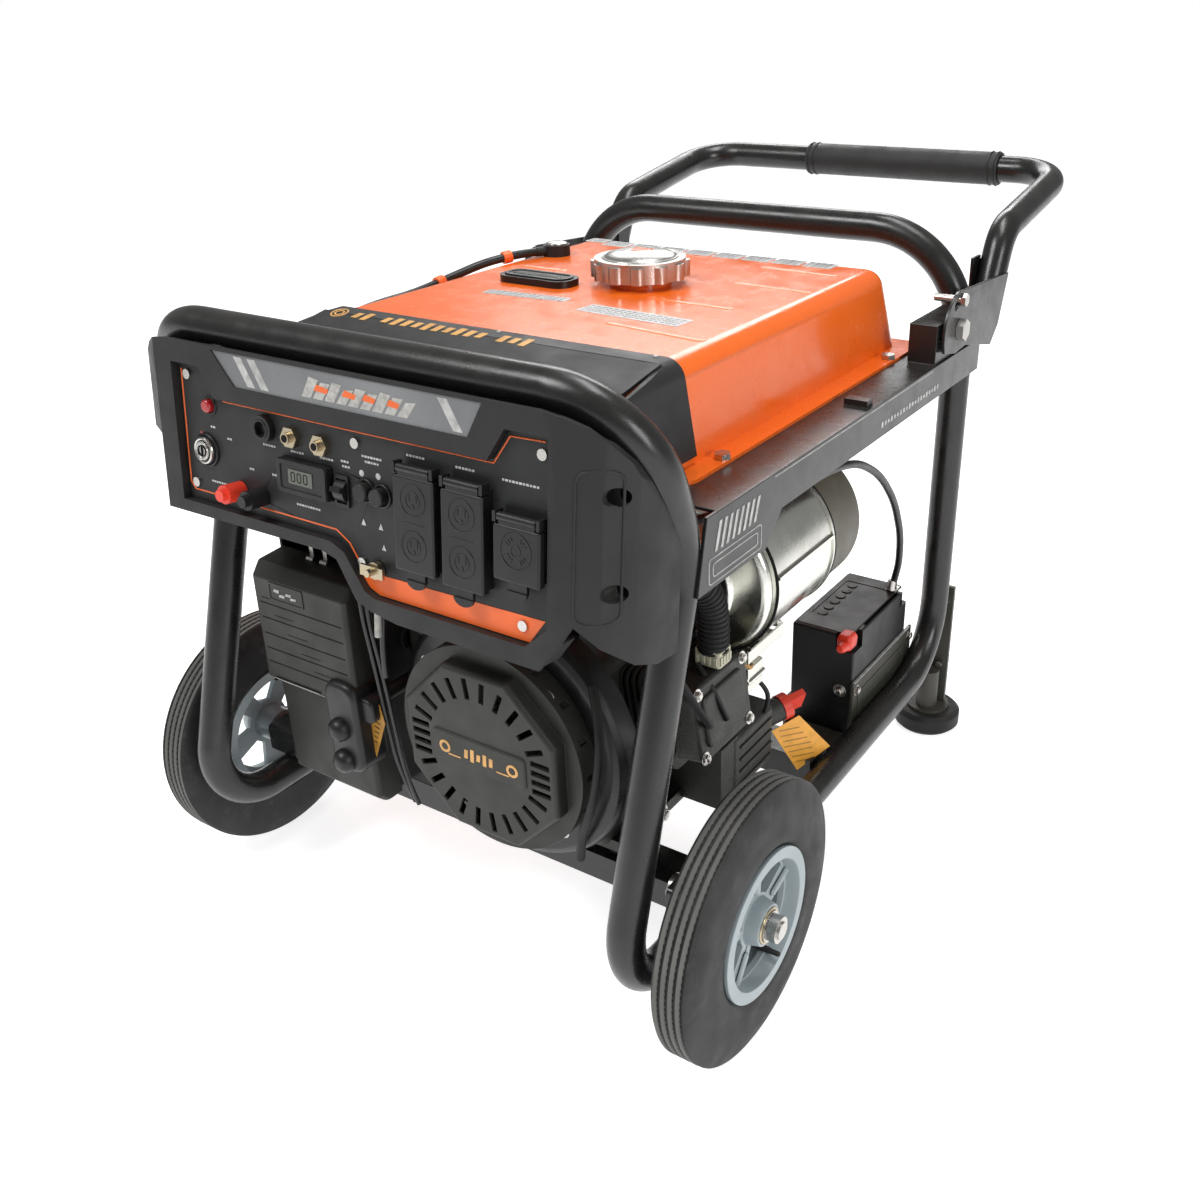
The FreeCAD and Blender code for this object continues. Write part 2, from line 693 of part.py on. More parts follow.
def build_outlets():
    """Socket frames with hinge ears and pins, and the flip cover of each."""
    face = dim("plate_depth") - dim("plate_thick")
    proud = dim("outlet_proud")
    frames = []
    for name, (x, top, wide, tall) in COVERS.items():
        width = dim(wide)
        height = dim(tall)
        body = panel_box(name + "_frame", wide, "outlet_proud", tall, x, face - proud, top - height / 2 - 2)
        ears = [panel_box(f"{name}_ear_{i}", "3", 9, "8", x + s * (width / 2 - 1.5), HINGE_DEPTH - 3, top)
                for i, s in enumerate((-1, 1))]
        pin = cylinder(name + "_pin", PIN_RADIUS, width - 1, Placement())
        pin.Placement = on_panel(x - width / 2 + 0.5, HINGE_DEPTH, top, Y_AXIS, 90)
        holes = [panel_rod(f"{name}_hole_{i}", 14 if tall == "cover_tall" else 15, 3.5, x, face - proud, z)
                 for i, z in enumerate(socket_heights(name, top, height))]
        frames.append(cut(name + "_socket", fused(name + "_fixed", body, *ears, pin),
                          fused(name + "_holes", *holes) if len(holes) > 1 else holes[0]))
        leaf = panel_box(name + "_leaf", wide, "cover_thick - 0.4", tall, x, face - proud - dim("cover_thick"),
                         top - height / 2 - 5.3)
        leaf = softened(name + "_round", leaf, 1.8, lambda e: is_front(e, face - proud - 3))
        tab = panel_box(name + "_tab", "17", 3, "22", x, face - proud - 5, top - height - 2)
        barrel = cylinder(name + "_barrel", 3.4, width - 8, Placement())
        barrel.Placement = on_panel(x - width / 2 + 4, HINGE_DEPTH, top, Y_AXIS, 90)
        link = panel_box(name + "_link", str(width - 10), 3, "9", x, HINGE_DEPTH - 2, top - 4)
        bore = cylinder(name + "_bore", PIN_RADIUS + dim("run_gap"), width, Placement())
        bore.Placement = on_panel(x - width / 2, HINGE_DEPTH, top, Y_AXIS, 90)
        node(cut(name, fused(name + "_whole", leaf, tab, barrel, link), bore), name)
    node(group("outlet_sockets", *frames), "outlet_sockets")


def socket_heights(name, top, height):
    middle = top - height / 2 - 2
    return [middle] if name == "twist_cover" else [middle + 18, middle - 18]


def build_controls():
    """Key plug, rocker, push breakers and the two screw terminals, which all move."""
    face = dim("plate_depth") - dim("plate_thick")
    x, z = KEY_PLACE
    plug = panel_rod("key_plug", 8, 22, x, face - 6, z)
    slot = panel_box("key_slot", "2", 8, "10", x, face - 7, z)
    node(cut("key_switch", plug, slot), "key_switch")
    x, z = ROCKER_PLACE
    drum = cylinder("rocker_drum", 9, 11, Placement())
    drum.Placement = on_panel(x - 5.5, face + 2, z, Y_AXIS, 90)
    ridge = box("rocker_ridge", 11, 10, 4, Placement())
    ridge.Placement = on_panel(x - 5.5, face + 2, z).multiply(placed(axis=X_AXIS, angle=-14)).multiply(
        placed(0, -12, -2))
    node(fused("rocker_switch", drum, ridge), "rocker_switch")
    for name, (x, z) in BREAKERS.items():
        button = panel_rod(name + "_button", 7, 24, x, face - 9, z)
        node(softened(name, button, 1.5, lambda e: is_front(e, face - 8.9)), name)
    for name, (x, z) in TERMINALS.items():
        knob = panel_rod(name + "_knob", 8, 18, x, face - 18.4, z)
        collar = panel_rod(name + "_collar", 5, 5, x, face - 23, z)
        stem = panel_rod(name + "_stem", 3, 34, x, face - 20, z)
        node(fused(name, knob, collar, stem), name)


# ---------------------------------------------------------------- fuel tank

def drafted(label, half, start, end, foot, tall, shrink, edge_radius):
    """A box whose walls lean in, with rounded upright corners and top edge."""
    body = doc.addObject("PartDesign::Body", label)
    outline = [(-half, start), (half, start), (half, end), (-half, end)]
    sketch = new_sketch(body, label + "_outline", "XY_Plane", outline)
    pad = body.newObject("PartDesign::Pad", label + "_pad")
    pad.Profile = sketch
    bind(pad, Length=tall)
    pad.TaperAngle = -math.degrees(math.atan2(shrink, dim_of(tall)))
    body.Placement = placed(0, 0, foot)
    doc.recompute()
    if edge_radius:
        names = [f"Edge{i}" for i, e in enumerate(pad.Shape.Edges, start=1) if e.CenterOfMass.z > 1]
        fillet = body.newObject("PartDesign::Fillet", label + "_fillet")
        fillet.Base = (pad, names)
        fillet.Radius = edge_radius
    return body


def dim_of(expression):
    """The value of a simple sum of aliases and numbers."""
    total = 0
    sign = 1
    for word in str(expression).split():
        if word in "+-":
            sign = 1 if word == "+" else -1
            continue
        total += sign * (dim(word) if word in SIZES else float(word))
    return total


def build_tank():
    """Pressed steel tank: drafted upper half, shallow lower half, a seam flange."""
    start = dim("tank_start")
    end = dim("tank_end")
    seat = dim("tank_seat")
    half = dim("tank_half")
    wall = dim("tank_wall")
    flange_half = dim("tank_flange")
    upper = drafted("tank_upper", half, start, end, seat, "tank_top - tank_seat", dim("tank_draft"),
                    dim("tank_edge"))
    flange = box("tank_rim", "2 * tank_flange", str(end - start + 32), 3,
                 placed(-flange_half, start - 16, seat))
    flange = softened("tank_rim_round", flange, 18, edge_runs(Z_AXIS))
    lower = box("tank_lower", "2 * tank_half - 14", str(end - start - 14), "tank_seat - tank_bottom",
                placed(-half + 7, start + 7, dim("tank_bottom")))
    lower = softened("tank_lower_round", lower, 16, lambda e: e.CenterOfMass.z < seat - 1)
    x = dim("cap_x")
    y = dim("cap_y")
    top = dim("tank_top")
    collar = rod("tank_neck", 31, 10, (x, y, top - 3), Z_AXIS)
    outer = fused("tank_outer", upper, flange, lower, collar)
    room = drafted("tank_room", half - wall, start + wall, end - wall, seat + 3,
                   "tank_top - tank_seat - 5", dim("tank_draft"), dim("tank_edge") - wall)
    sump = box("tank_sump", "2 * tank_half - 18", str(end - start - 18), "tank_seat - tank_bottom + 3",
               placed(-half + 9, start + 9, dim("tank_bottom") + wall))
    sump = softened("tank_sump_round", sump, 14, lambda e: e.CenterOfMass.z < seat + 3)
    mouth = rod("tank_mouth", "neck_radius", 40, (x, y, top - 20), Z_AXIS)
    holes = [rod(f"tank_hole_{i}", 4.05, 12, (sx * 219, sy, seat - 4), Z_AXIS)
             for i, (sx, sy) in enumerate(((1, -280), (1, 60), (-1, -280), (-1, 60)))]
    node(cut("fuel_tank", outer, fused("tank_spaces", room, sump, mouth, *holes)), "fuel_tank")


def build_tank_fittings():
    """Front cover, filler cap, fuel gauge, vent valve and its hose."""
    half = dim("tank_half")
    seat = dim("tank_seat") + 3.3
    front = -424
    back = -300
    tall = dim("tank_top") - seat + 3.5
    outer = drafted("cover_outer", half + 3, front, back + 40, seat, str(tall), dim("tank_draft"), 18)
    inner = drafted("cover_inner", half + 0.6, front + 2.6, back + 60, seat - 1, str(tall - 1.5),
                    dim("tank_draft"), 16)
    shell = cut("cover_shell", outer, inner)
    keep_profile = [(front - 10, seat), (back, seat), (back, 700), (back - 20, 582), (front - 10, 566)]
    keep = padded("cover_keep", "YZ_Plane", keep_profile, 600, placed(-300))
    lid_outline = [(front + 4, 563.5), (back - 18, 581.5), (back - 18, 584.5), (front + 4, 566.5)]
    lid = padded("cover_lid", "YZ_Plane", lid_outline, 372, placed(-186))
    notch = box("cover_notch", 2 * half + 42, 90, 14, placed(-half - 21, -346, seat - 8))
    cover = cut("cover_trimmed", fused("cover_joined", common("cover_kept", shell, keep), lid), notch)
    node(cover, "tank_cover")
    x = dim("cap_x")
    y = dim("cap_y")
    top = dim("tank_top") + 7.4
    lobes = [rod(f"cap_lobe_{i}", 8, "cap_tall - 3", (x + 42 * math.cos(a), y + 42 * math.sin(a), top), Z_AXIS)
             for i, a in enumerate(math.radians(i * 30) for i in range(12))]
    disc = rod("cap_disc", "cap_radius - 4", "cap_tall", (x, y, top), Z_AXIS)
    spigot = rod("cap_spigot", "neck_radius - run_gap", 12, (x, y, top - 11), Z_AXIS)
    node(fused("fuel_cap", disc, spigot, *lobes), "fuel_cap")
    gauge = box("gauge_block", 88, 36, 7, placed(-134, -136, dim("tank_top")))
    node(softened("fuel_gauge", gauge, 15, edge_runs(Z_AXIS)), "fuel_gauge")
    valve = rod("vent_body", 15, 12, (-160, 4, dim("tank_top")), Z_AXIS)
    nipple = rod("vent_nipple", 5.2, 16, (-165, -4, dim("tank_top") + 6), Vector(-0.4, -0.9, 0))
    node(fused("vent_valve", valve, nipple), "vent_valve")
    hose = tube("vent_hose", VENT_ROUTE, route_radii(VENT_ROUTE), 4.5)
    node(hose, "vent_hose")


VENT_ROUTE = [
    (-171.6, -18.8, 587), (-182, -42, 587), (-198, -76, 583), (-212, -118, 573), (-217, -168, 566),
    (-217, -222, 566), (-215, -276, 562), (-218, -326, 548), (-219, -368, 517), (-217, -392, 478),
    (-203, -408, 446), (-190, -412, 420), (-188, -412, 398),
]


# ---------------------------------------------------------------- engine

def crank_rod(name, radius, start, end):
    """A round piece on the crankshaft's own axis, between two places along Y."""
    return rod(name, radius, end - start, (dim("crank_x"), start, dim("crank_z")), Y_AXIS)


def build_crankcase():
    """Aluminium crankcase with its sump, mounting feet and the starter motor."""
    x = dim("crank_x")
    half = dim("case_half")
    front = dim("case_front")
    back = dim("case_back")
    sump = dim("sump_bottom")
    tall = 196
    block = box("case_block", "2 * case_half", "case_back - case_front", tall, placed(x - half, front, sump))
    block = softened("case_round", block, 16)
    skirt = box("case_skirt", 2 * half + 26, back - front - 20, 12, placed(x - half - 13, front + 10, sump))
    starter = rod("starter_motor", 26, 82, (112, front, 374), Y_AXIS)
    relay = rod("starter_relay", 13, 56, (140, front + 8, 394), Y_AXIS)
    neck = box("starter_neck", 46, 24, 50, placed(88, front, 320))
    rear = crank_rod("case_rear", 92, back - 14, back)
    filler = rod("filler_neck", 13, FILLER_LONG, FILLER, FILLER_AXIS)
    shoulder = box("filler_shoulder", 70, 32, 68, placed(140, back - 32, sump + 4))
    housing = box("filler_housing", 62, 82, 68, placed(150, back - 10, sump + 4))
    housing = softened("filler_housing_round", housing, 8, lambda e: e.CenterOfMass.x > 205)
    solid = fused("case_solid", block, skirt, starter, relay, neck, rear, filler, shoulder, housing)
    room = box("case_room", 2 * half - 30, back - front - 44, 126, placed(x - half + 15, front + 22, sump + 44))
    tunnel = crank_rod("case_tunnel", "shaft_radius + run_gap", front - 10, back + 10)
    pipe = rod("filler_bore", 9.06, FILLER_LONG + 20, tuple(Vector(*FILLER) - FILLER_AXIS * 15), FILLER_AXIS)
    seat = box("cylinder_seat", 104, 104, 60, Placement())
    seat.Placement = bore_place().multiply(placed(-52, -52, 84))
    relief = rod("muffler_relief", "muffler_radius + 3", 40,
                 (dim("muffler_x"), dim("muffler_start") - 14, dim("muffler_z")), Y_AXIS)
    drum_relief = rod("drum_relief", 51, 40, (dim("muffler_x"), dim("muffler_start") - 37, dim("muffler_z") + 6),
                      Y_AXIS)
    spaces = fused("case_spaces", room, tunnel, pipe, seat, relief, drum_relief)
    node(cut("crankcase", solid, spaces), "crankcase")


FILLER = (142, -252, 156)
FILLER_LONG = 134
FILLER_AXIS = Vector(70, 133, 23).normalize()


def bore_place():
    """The cylinder's own frame: its centre line leans up from the crankshaft."""
    tilt = math.radians(dim("bore_tilt"))
    direction = Vector(math.cos(tilt), 0, math.sin(tilt))
    return Placement(Vector(dim("crank_x"), dim("bore_middle"), dim("crank_z")), along(direction))


def build_cylinder():
    """Finned cylinder and head, leaning out of the crankcase, and its valve cover."""
    base = bore_place()
    direction = base.Rotation.multVec(Z_AXIS)
    side = dim("cylinder_side")

    def slab(name, tall, wide, low, high, corner):
        item = box(name, tall, wide, high - low, Placement())
        item.Placement = base.multiply(placed(-tall / 2, -wide / 2, low))
        return softened(name + "_round", item, corner, edge_runs(direction))

    start = 84.5
    fins = [slab(f"fin_{i}", side, side, start + i * 7, start + i * 7 + 3, 12) for i in range(7)]
    barrel = slab("barrel", 74, 74, start, start + 50, 10)
    bore = cylinder("bore", 36, 34, Placement())
    bore.Placement = base.multiply(placed(0, 0, start - 1))
    node(cut("cylinder", fused("cylinder_solid", barrel, *fins), bore), "cylinder")
    cap = slab("valve_block", 74, 92, start + 50.2, start + 76, 12)
    node(softened("valve_cover", cap, 4, lambda e: base.inverse().multVec(e.CenterOfMass).z > start + 75),
         "valve_cover")


def build_blower():
    """Fan housing, the slotted recoil cover on it, and the pull grip."""
    front = dim("blower_front")
    back = dim("blower_back")
    radius = dim("blower_radius")
    place = Placement(Vector(dim("crank_x"), back, dim("crank_z")), along(Vector(0, -1, 0)))
    deep = back - front
    turn = turned("blower_turned", [
        (radius - 3, 0), (radius, 0), (radius, deep - 12), (radius - 4, deep - 4), (radius - 12, deep),
        (80, deep), (80, deep - 3), (radius - 13, deep - 3), (radius - 7, deep - 6), (radius - 3, deep - 13)],
        place)
    node(turn, "blower_housing")
    face = dim("recoil_front")
    outer = dim("recoil_radius")
    ring_deep = 22
    ring = crank_rod("recoil_ring", 101, front - ring_deep, front)
    ring_room = crank_rod("recoil_ring_room", 98, front - ring_deep + 3, front + 5)
    cup = octagon("recoil_cup", outer, face, front - ring_deep + 1)
    cup = softened("recoil_cup_round", cup, 5, lambda e: e.CenterOfMass.y < front - ring_deep)
    cup_room = octagon("recoil_cup_room", outer - 3, face + 3, front)
    body = cut("recoil_body", fused("recoil_outer", ring, cup), fused("recoil_inner", ring_room, cup_room))
    slots = []
    for i in range(24):
        angle = i * 15 + 7.5
        if abs(math.sin(math.radians(angle))) < 0.3:
            continue
        slots.append(recoil_slot(f"recoil_slot_{i}", angle, 57, 20, face - 2, 8))
    for i in range(8):
        slots.append(recoil_slot(f"recoil_side_slot_{i}", 180 * (i // 4), 57, 20, face - 2, 8,
                                 (i % 4) * 9.5 - 14.25))
    for i in range(18):
        slots.append(recoil_slot(f"recoil_vent_{i}", i * 20, 92, 20, front - 15, 9))
    node(cut("recoil_cover", body, fused("recoil_slots", *slots)), "recoil_cover")
    grip = box("grip_bar", 46, 14, 12, placed(58, front - ring_deep - 8, 356))
    grip = softened("grip_round", grip, 4)
    stem = rod("grip_stem", 5, 17, (81, front - ring_deep + 2, 362), Y_AXIS)
    node(fused("recoil_grip", grip, stem), "recoil_grip")


def octagon(name, radius, start, end):
    item = doc.addObject("Part::Prism", name)
    item.Polygon = 8
    item.Circumradius = radius / math.cos(math.pi / 8)
    item.Height = end - start
    spot = Vector(dim("crank_x"), start, dim("crank_z"))
    item.Placement = Placement(spot, along(Y_AXIS)).multiply(placed(axis=Z_AXIS, angle=22.5))
    return item


def recoil_slot(name, angle, inner, length, start, deep, aside=0):
    """A slot in the recoil cover, cut from a place along Y; radial unless it is set aside."""
    item = box(name, length, deep, 5.5, Placement())
    spot = Vector(dim("crank_x"), start, dim("crank_z"))
    item.Placement = Placement(spot, Rotation(Y_AXIS, -angle)).multiply(placed(inner, 0, aside - 2.75))
    return item


def build_rotating():
    """Flywheel fan and the crankshaft with its webs and the alternator's rotor."""
    disc = crank_rod("fly_disc", 88, -396, -388)
    hub = crank_rod("fly_hub", 30, -400, -382)
    blades = []
    for i in range(16):
        blade = box(f"fly_blade_{i}", 26, 12, 4, Placement())
        spot = Vector(dim("crank_x"), -402, dim("crank_z"))
        blade.Placement = Placement(spot, Rotation(Y_AXIS, i * 22.5)).multiply(placed(58, 0, -2))
        blades.append(blade)
    wheel = fused("fly_whole", disc, hub, *blades)
    node(cut("flywheel", wheel, crank_rod("fly_bore", dim("shaft_radius"), -410, -370)), "flywheel")
    shaft = crank_rod("main_shaft", "shaft_radius", -412, 0)
    webs = [crank_rod(f"crank_web_{i}", 46, y, y + 14) for i, y in enumerate((-342, -308))]
    rotor = crank_rod("rotor", 50, -214, -44)
    node(fused("crankshaft", shaft, rotor, *webs), "crankshaft")


def build_alternator():
    """Stator housing behind the engine, with its foot on the rear cross member."""
    start = dim("case_back") + 0.5
    end = dim("alternator_end")
    drum = crank_rod("alternator_drum", "alternator_radius", start, end)
    cap = crank_rod("alternator_cap", "alternator_radius - 6", end - 1, end + 16)
    foot = box("alternator_foot", 96, 40, 66, placed(dim("crank_x") - 48, -116, 128))
    solid = fused("alternator_solid", drum, cap, foot)
    room = crank_rod("alternator_room", 56, start + 14, end + 6)
    tunnel = crank_rod("alternator_tunnel", "shaft_radius + run_gap", start - 5, end + 12)
    vents = []
    for i in range(12):
        vent = box(f"alternator_vent_{i}", 20, 30, 7, Placement())
        spot = Vector(dim("crank_x"), end - 4, dim("crank_z"))
        vent.Placement = Placement(spot, Rotation(Y_AXIS, i * 30)).multiply(placed(36, 0, -3.5))
        vents.append(vent)
    node(cut("alternator_housing", solid, fused("alternator_spaces", room, tunnel, *vents)),
         "alternator_housing")


def build_mounts():
    """Rubber mounts under the engine's skirt and the alternator's foot."""
    spots = [(-4, -338, 112, 16), (144, -338, 112, 16), (42, -96, 112, 16), (98, -96, 112, 16)]
    pads = []
    for i, (x, y, z, tall) in enumerate(spots):
        pads.append(rod(f"mount_{i}", 14, tall, (x, y, z), Z_AXIS))
    node(group("engine_mounts", *pads), "engine_mounts")


def build_air_cleaner():
    """Tall air cleaner: hollow box, clipped front cover."""
    left = dim("cleaner_left")
    wide = dim("cleaner_right") - left
    front = dim("cleaner_front")
    low = dim("cleaner_bottom")
    tall = dim("cleaner_top") - low
    lid = dim("cleaner_lid")
    deep = dim("cleaner_deep") - lid
    shell = box("cleaner_shell", wide, deep, tall, placed(left, front + lid, low))
    shell = softened("cleaner_shell_round", shell, 10, edge_runs(Y_AXIS))
    room = box("cleaner_room", wide - 6, deep, tall - 6, placed(left + 3, front + lid - 3, low + 3))
    outlet = rod("cleaner_outlet", 14, 6.6, (-80, -364.5, 292), X_AXIS)
    throat = rod("cleaner_throat", 10, 60, (-100, -364.5, 292), X_AXIS)
    node(cut("air_cleaner_box", fused("cleaner_outer", shell, outlet),
             fused("cleaner_spaces", room, throat)), "air_cleaner_box")
    profile = [(front + lid - 0.2, low), (front + lid - 0.2, low + tall - 25), (front + 12, low + tall - 27),
               (front + 2, low + tall - 40), (front, low + 118), (front + 10, low + 108), (front + 12, low + 8),
               (front + 20, low)]
    cover = padded("cleaner_front", "YZ_Plane", profile, wide - 2, placed(left + 1))
    doc.recompute()
    cover = softened("cleaner_cover_round", cover, 5, lambda e: e.CenterOfMass.y < front + 30)
    hollow = box("cleaner_cover_room", wide - 24, lid - 17, tall - 56, placed(left + 13, front + 18, low + 14))
    step = box("cleaner_step", 11, lid + 10, 130, placed(left - 2, front - 2, low - 12))
    node(cut("air_cleaner_cover", cover, fused("cleaner_cover_cuts", hollow, step)), "air_cleaner_cover")


def build_carburettor():
    """Carburettor, its intake flange on the crankcase, and the fuel tap."""
    body = box("carb_block", 44, 36, 44, placed(-73, -373.4, 270))
    body = softened("carb_round", body, 6)
    bowl = rod("carb_bowl", 15, 26, (-48, -355, 248), Z_AXIS)
    pipe = rod("intake_pipe", 13, 22, (-34, -355, 292), X_AXIS)
    flange = box("intake_flange", 5, 40, 34, placed(-17.3, -373.4, 275))
    stem = rod("valve_stem", 4.5, 30, (TAP_X, -366, TAP_Z), Z_AXIS)
    cock = rod("valve_cock", 7, 58, (TAP_X, -418, TAP_Z), Y_AXIS)
    solid = fused("carb_solid", body, bowl, pipe, flange, stem, cock)
    throat = rod("carb_throat", 10, 80, (-80, -355, 292), X_AXIS)
    pin = rod("valve_pin_hole", 3.06, 16, (TAP_X, -420, TAP_Z), Y_AXIS)
    node(cut("carburettor", solid, fused("carb_spaces", throat, pin)), "carburettor")
    lever = box("valve_lever", 8, 4, 30, placed(TAP_X - 4, -422.6, TAP_Z - 26))
    hub = rod("valve_hub", 7, 4, (TAP_X, -422.6, TAP_Z), Y_AXIS)
    key = rod("valve_key", 3, 14, (TAP_X, -420, TAP_Z), Y_AXIS)
    node(fused("fuel_valve", lever, hub, key), "fuel_valve")


TAP_X = -66
TAP_Z = 256


def build_exhaust():
    """Muffler can with its domed front, end cap, side seam and inlet stub."""
    x = dim("muffler_x")
    z = dim("muffler_z")
    start = dim("muffler_start")
    end = dim("muffler_end")
    seam_y = dim("muffler_seam")
    can = rod("muffler_can", "muffler_radius", seam_y - start, (x, start, z), Y_AXIS)
    cap = rod("muffler_cap", "muffler_radius - 2", end - seam_y, (x, seam_y, z), Y_AXIS)
    cap = softened("muffler_cap_round", cap, 16, lambda e: e.CenterOfMass.y > end - 2)
    lip = rod("muffler_lip", "muffler_radius + 1.5", 5, (x, seam_y - 5, z), Y_AXIS)
    dome = rod("muffler_dome", "muffler_radius - 3", 12, (x, start - 10, z), Y_AXIS)
    dome = softened("muffler_dome_round", dome, 8, lambda e: e.CenterOfMass.y < start - 9)
    seam = box("muffler_seam", 12, seam_y - start - 8, 3, placed(x + 66, start + 2, z + 12.5))
    drum = rod("muffler_drum", 48, 26, (x, start - 34, z + 6), Y_AXIS)
    drum = softened("muffler_drum_round", drum, 6, lambda e: e.CenterOfMass.y < start - 33)
    inlet = rod("exhaust_inlet", 13, 16, (x - 14, start - 11.6, z - 58), Y_AXIS)
    solid = fused("muffler_solid", can, cap, lip, dome, drum, seam, inlet)
    room = rod("muffler_room", "muffler_radius - 5", end - start - 24, (x, start + 3, z), Y_AXIS)
    node(cut("muffler", solid, room), "muffler")


def build_conduit():
    """Ribbed wiring conduit from the engine's plug up to the back of the panel box."""
    hose = tube("conduit_hose", CONDUIT_ROUTE, route_radii(CONDUIT_ROUTE), 13)
    plug = box("conduit_plug", 26, 22, 15, placed(199, -294, 308.4))
    plug = softened("conduit_plug_round", plug, 3, edge_runs(Z_AXIS))
    node(fused("wiring_conduit", hose, plug), "wiring_conduit")


CONDUIT_ROUTE = [
    (212, -283, 322), (214, -284, 352), (213, -294, 384), (203, -322, 410), (186, -360, 426),
    (170, -398, 434), (160, -435.5, 437),
]


def build_dipstick():
    """Oil filler plug with its measuring rod."""
    mouth = Vector(*FILLER) + FILLER_AXIS * (FILLER_LONG + 0.4)
    head = rod("dipstick_head", 14, 10, tuple(mouth), FILLER_AXIS)
    tab = box("dipstick_tab", 7, 26, 20, Placement())
    tab.Placement = Placement(mouth + FILLER_AXIS * 9, along(FILLER_AXIS)).multiply(placed(-3.5, -13, 0))
    stick = rod("dipstick_rod", 9, 40, tuple(mouth - FILLER_AXIS * 39), FILLER_AXIS)
    node(fused("dipstick", head, tab, stick), "dipstick")


# ---------------------------------------------------------------- battery

def build_battery():
    """Starting battery, its welded holder and the cable to the starter relay."""
    left = dim("battery_left")
    front = dim("battery_front")
    low = dim("battery_bottom")
    wide = dim("battery_wide")
    long = dim("battery_long")
    tall = dim("battery_tall")
    case = box("battery_case", "battery_wide", "battery_long", "battery_tall", placed(left, front, low))
    case = softened("battery_case_round", case, 3)
    recess = box("battery_recess", 40, 92, 12, placed(left + 34, front + 34, low + tall - 6))
    corners = [box(f"battery_corner_{i}", 26, 24, 30, placed(left + wide - 22, y, low + tall - 20))
               for i, y in enumerate((front - 2, front + long - 22))]
    posts = [box(f"battery_post_{i}", 14, 13, 14, placed(left + wide - 18, y, low + tall - 21))
             for i, y in enumerate((front + 5, front + long - 18))]
    body = cut("battery_body", case, fused("battery_spaces", recess, *corners))
    node(fused("battery", body, *posts), "battery")
    right = left + wide + 0.5
    side = box("holder_side", "sheet_thick", long + 16, 103, placed(right, front - 4, low - 3))
    tray = box("holder_tray", right - left + 6, long + 16, "sheet_thick", placed(left - 6, front - 4, low - 3.2))
    arm = box("holder_arm", right - left - 10, 92, 11.6, placed(left + 4, -100, 70.3))
    drop = box("holder_drop", right - left - 10, "sheet_thick", 35, placed(left + 4, front - 4, low - 3))
    inner = box("holder_inner", "sheet_thick", long + 16, 60, placed(left - 6, front - 4, low - 3))
    node(fused("battery_holder", side, tray, arm, drop, inner), "battery_holder")
    node(tube("battery_cable", CABLE_ROUTE, route_radii(CABLE_ROUTE), 4), "battery_cable")


CABLE_ROUTE = [
    (140, -309.6, 394), (146, -290, 408), (166, -268, 424), (198, -250, 435), (228, -222, 441),
    (244, -176, 446), (248, -124, 446), (249, -70, 434), (249, -16, 404), (247, 34, 358),
    (240, 78, 300), (229, 108, 250), (219, 122, 218), (218, 124, 202.4),
]


# ---------------------------------------------------------------- tow handle

def build_handle():
    """Bent tow bar with side plates that swing on the rail's pivot bolts, and its grip."""
    arm = dim("arm_half")
    path = mirrored([
        (arm, dim("arm_foot"), dim("arm_foot_z")),
        (arm, dim("elbow_place"), dim("elbow_height")),
        (arm, dim("grip_bar"), dim("grip_height")),
    ])
    bends = [45, 58]
    bar = tube("handle_bar", path, bends + bends[::-1], dim("tube_radius"), dim("tube_wall"))
    pieces = [bar]
    y = dim("pivot_place")
    z = dim("pivot_height")
    nose = arc_points(y, z, 41, 100, 205, 7)
    outline = nose + [(y - 6, z - 24), (y + 24, z - 22), (222, 484), (243, 503), (263, 556)]
    for side, word in ((1, "right"), (-1, "left")):
        inner = dim("handle_plate")
        x = inner if side > 0 else -inner - dim("sheet_thick")
        plate = padded(f"handle_plate_{word}", "YZ_Plane", outline, "sheet_thick", placed(x),
                       circles=[(y, z, 5.06)])
        cheek_x = arm - 18 if side > 0 else -arm + 15
        cheek = box(f"handle_cheek_{word}", "sheet_thick", 24, 66, placed(cheek_x, 237, 507))
        slotted = cut(f"handle_slotted_{word}", plate, lock_slot(word, side))
        pieces += [slotted, cheek]
    node(fused("handle_tube", *pieces), "handle_tube")
    middle = dim("grip_shift")
    start = (middle - dim("grip_long") / 2, dim("grip_bar"), dim("grip_height"))
    sleeve = rod("grip_sleeve", "grip_radius", "grip_long", start, X_AXIS)
    sleeve = softened("grip_sleeve_round", sleeve, 2)
    hole = rod("grip_hole", "tube_radius + 0.02", "grip_long + 20", (start[0] - 10, *start[1:]), X_AXIS)
    node(cut("handle_grip", sleeve, hole), "handle_grip")


def lock_slot(word, side):
    """The curved slot round the pivot that the fixed lock pin runs in."""
    y = dim("pivot_place")
    z = dim("pivot_height")
    low = LOCK_ANGLE - 1
    high = LOCK_ANGLE + 36
    outline = arc_points(y, z, LOCK_RADIUS + 4.1, low, high, 6) + arc_points(y, z, LOCK_RADIUS - 4.1, high, low, 6)
    band = padded(f"lock_band_{word}", "YZ_Plane", outline, 20, placed(side * 271 - 10))
    ends = [rod(f"lock_end_{word}_{i}", 4.1, 20, slot_end(side * 271 - 10, a), X_AXIS)
            for i, a in enumerate((low, high))]
    return fused(f"lock_slot_{word}", band, *ends)


def slot_end(x, angle):
    turn = math.radians(angle)
    return (x, dim("pivot_place") + LOCK_RADIUS * math.cos(turn),
            dim("pivot_height") + LOCK_RADIUS * math.sin(turn))


# ---------------------------------------------------------------- the whole object

def check(item):
    """Stops if a piece failed to build or isn't a valid solid."""
    shape = item.Shape
    if shape.isNull() or not shape.isValid() or not shape.Solids:
        raise RuntimeError(f"{item.Label} is not a valid solid")


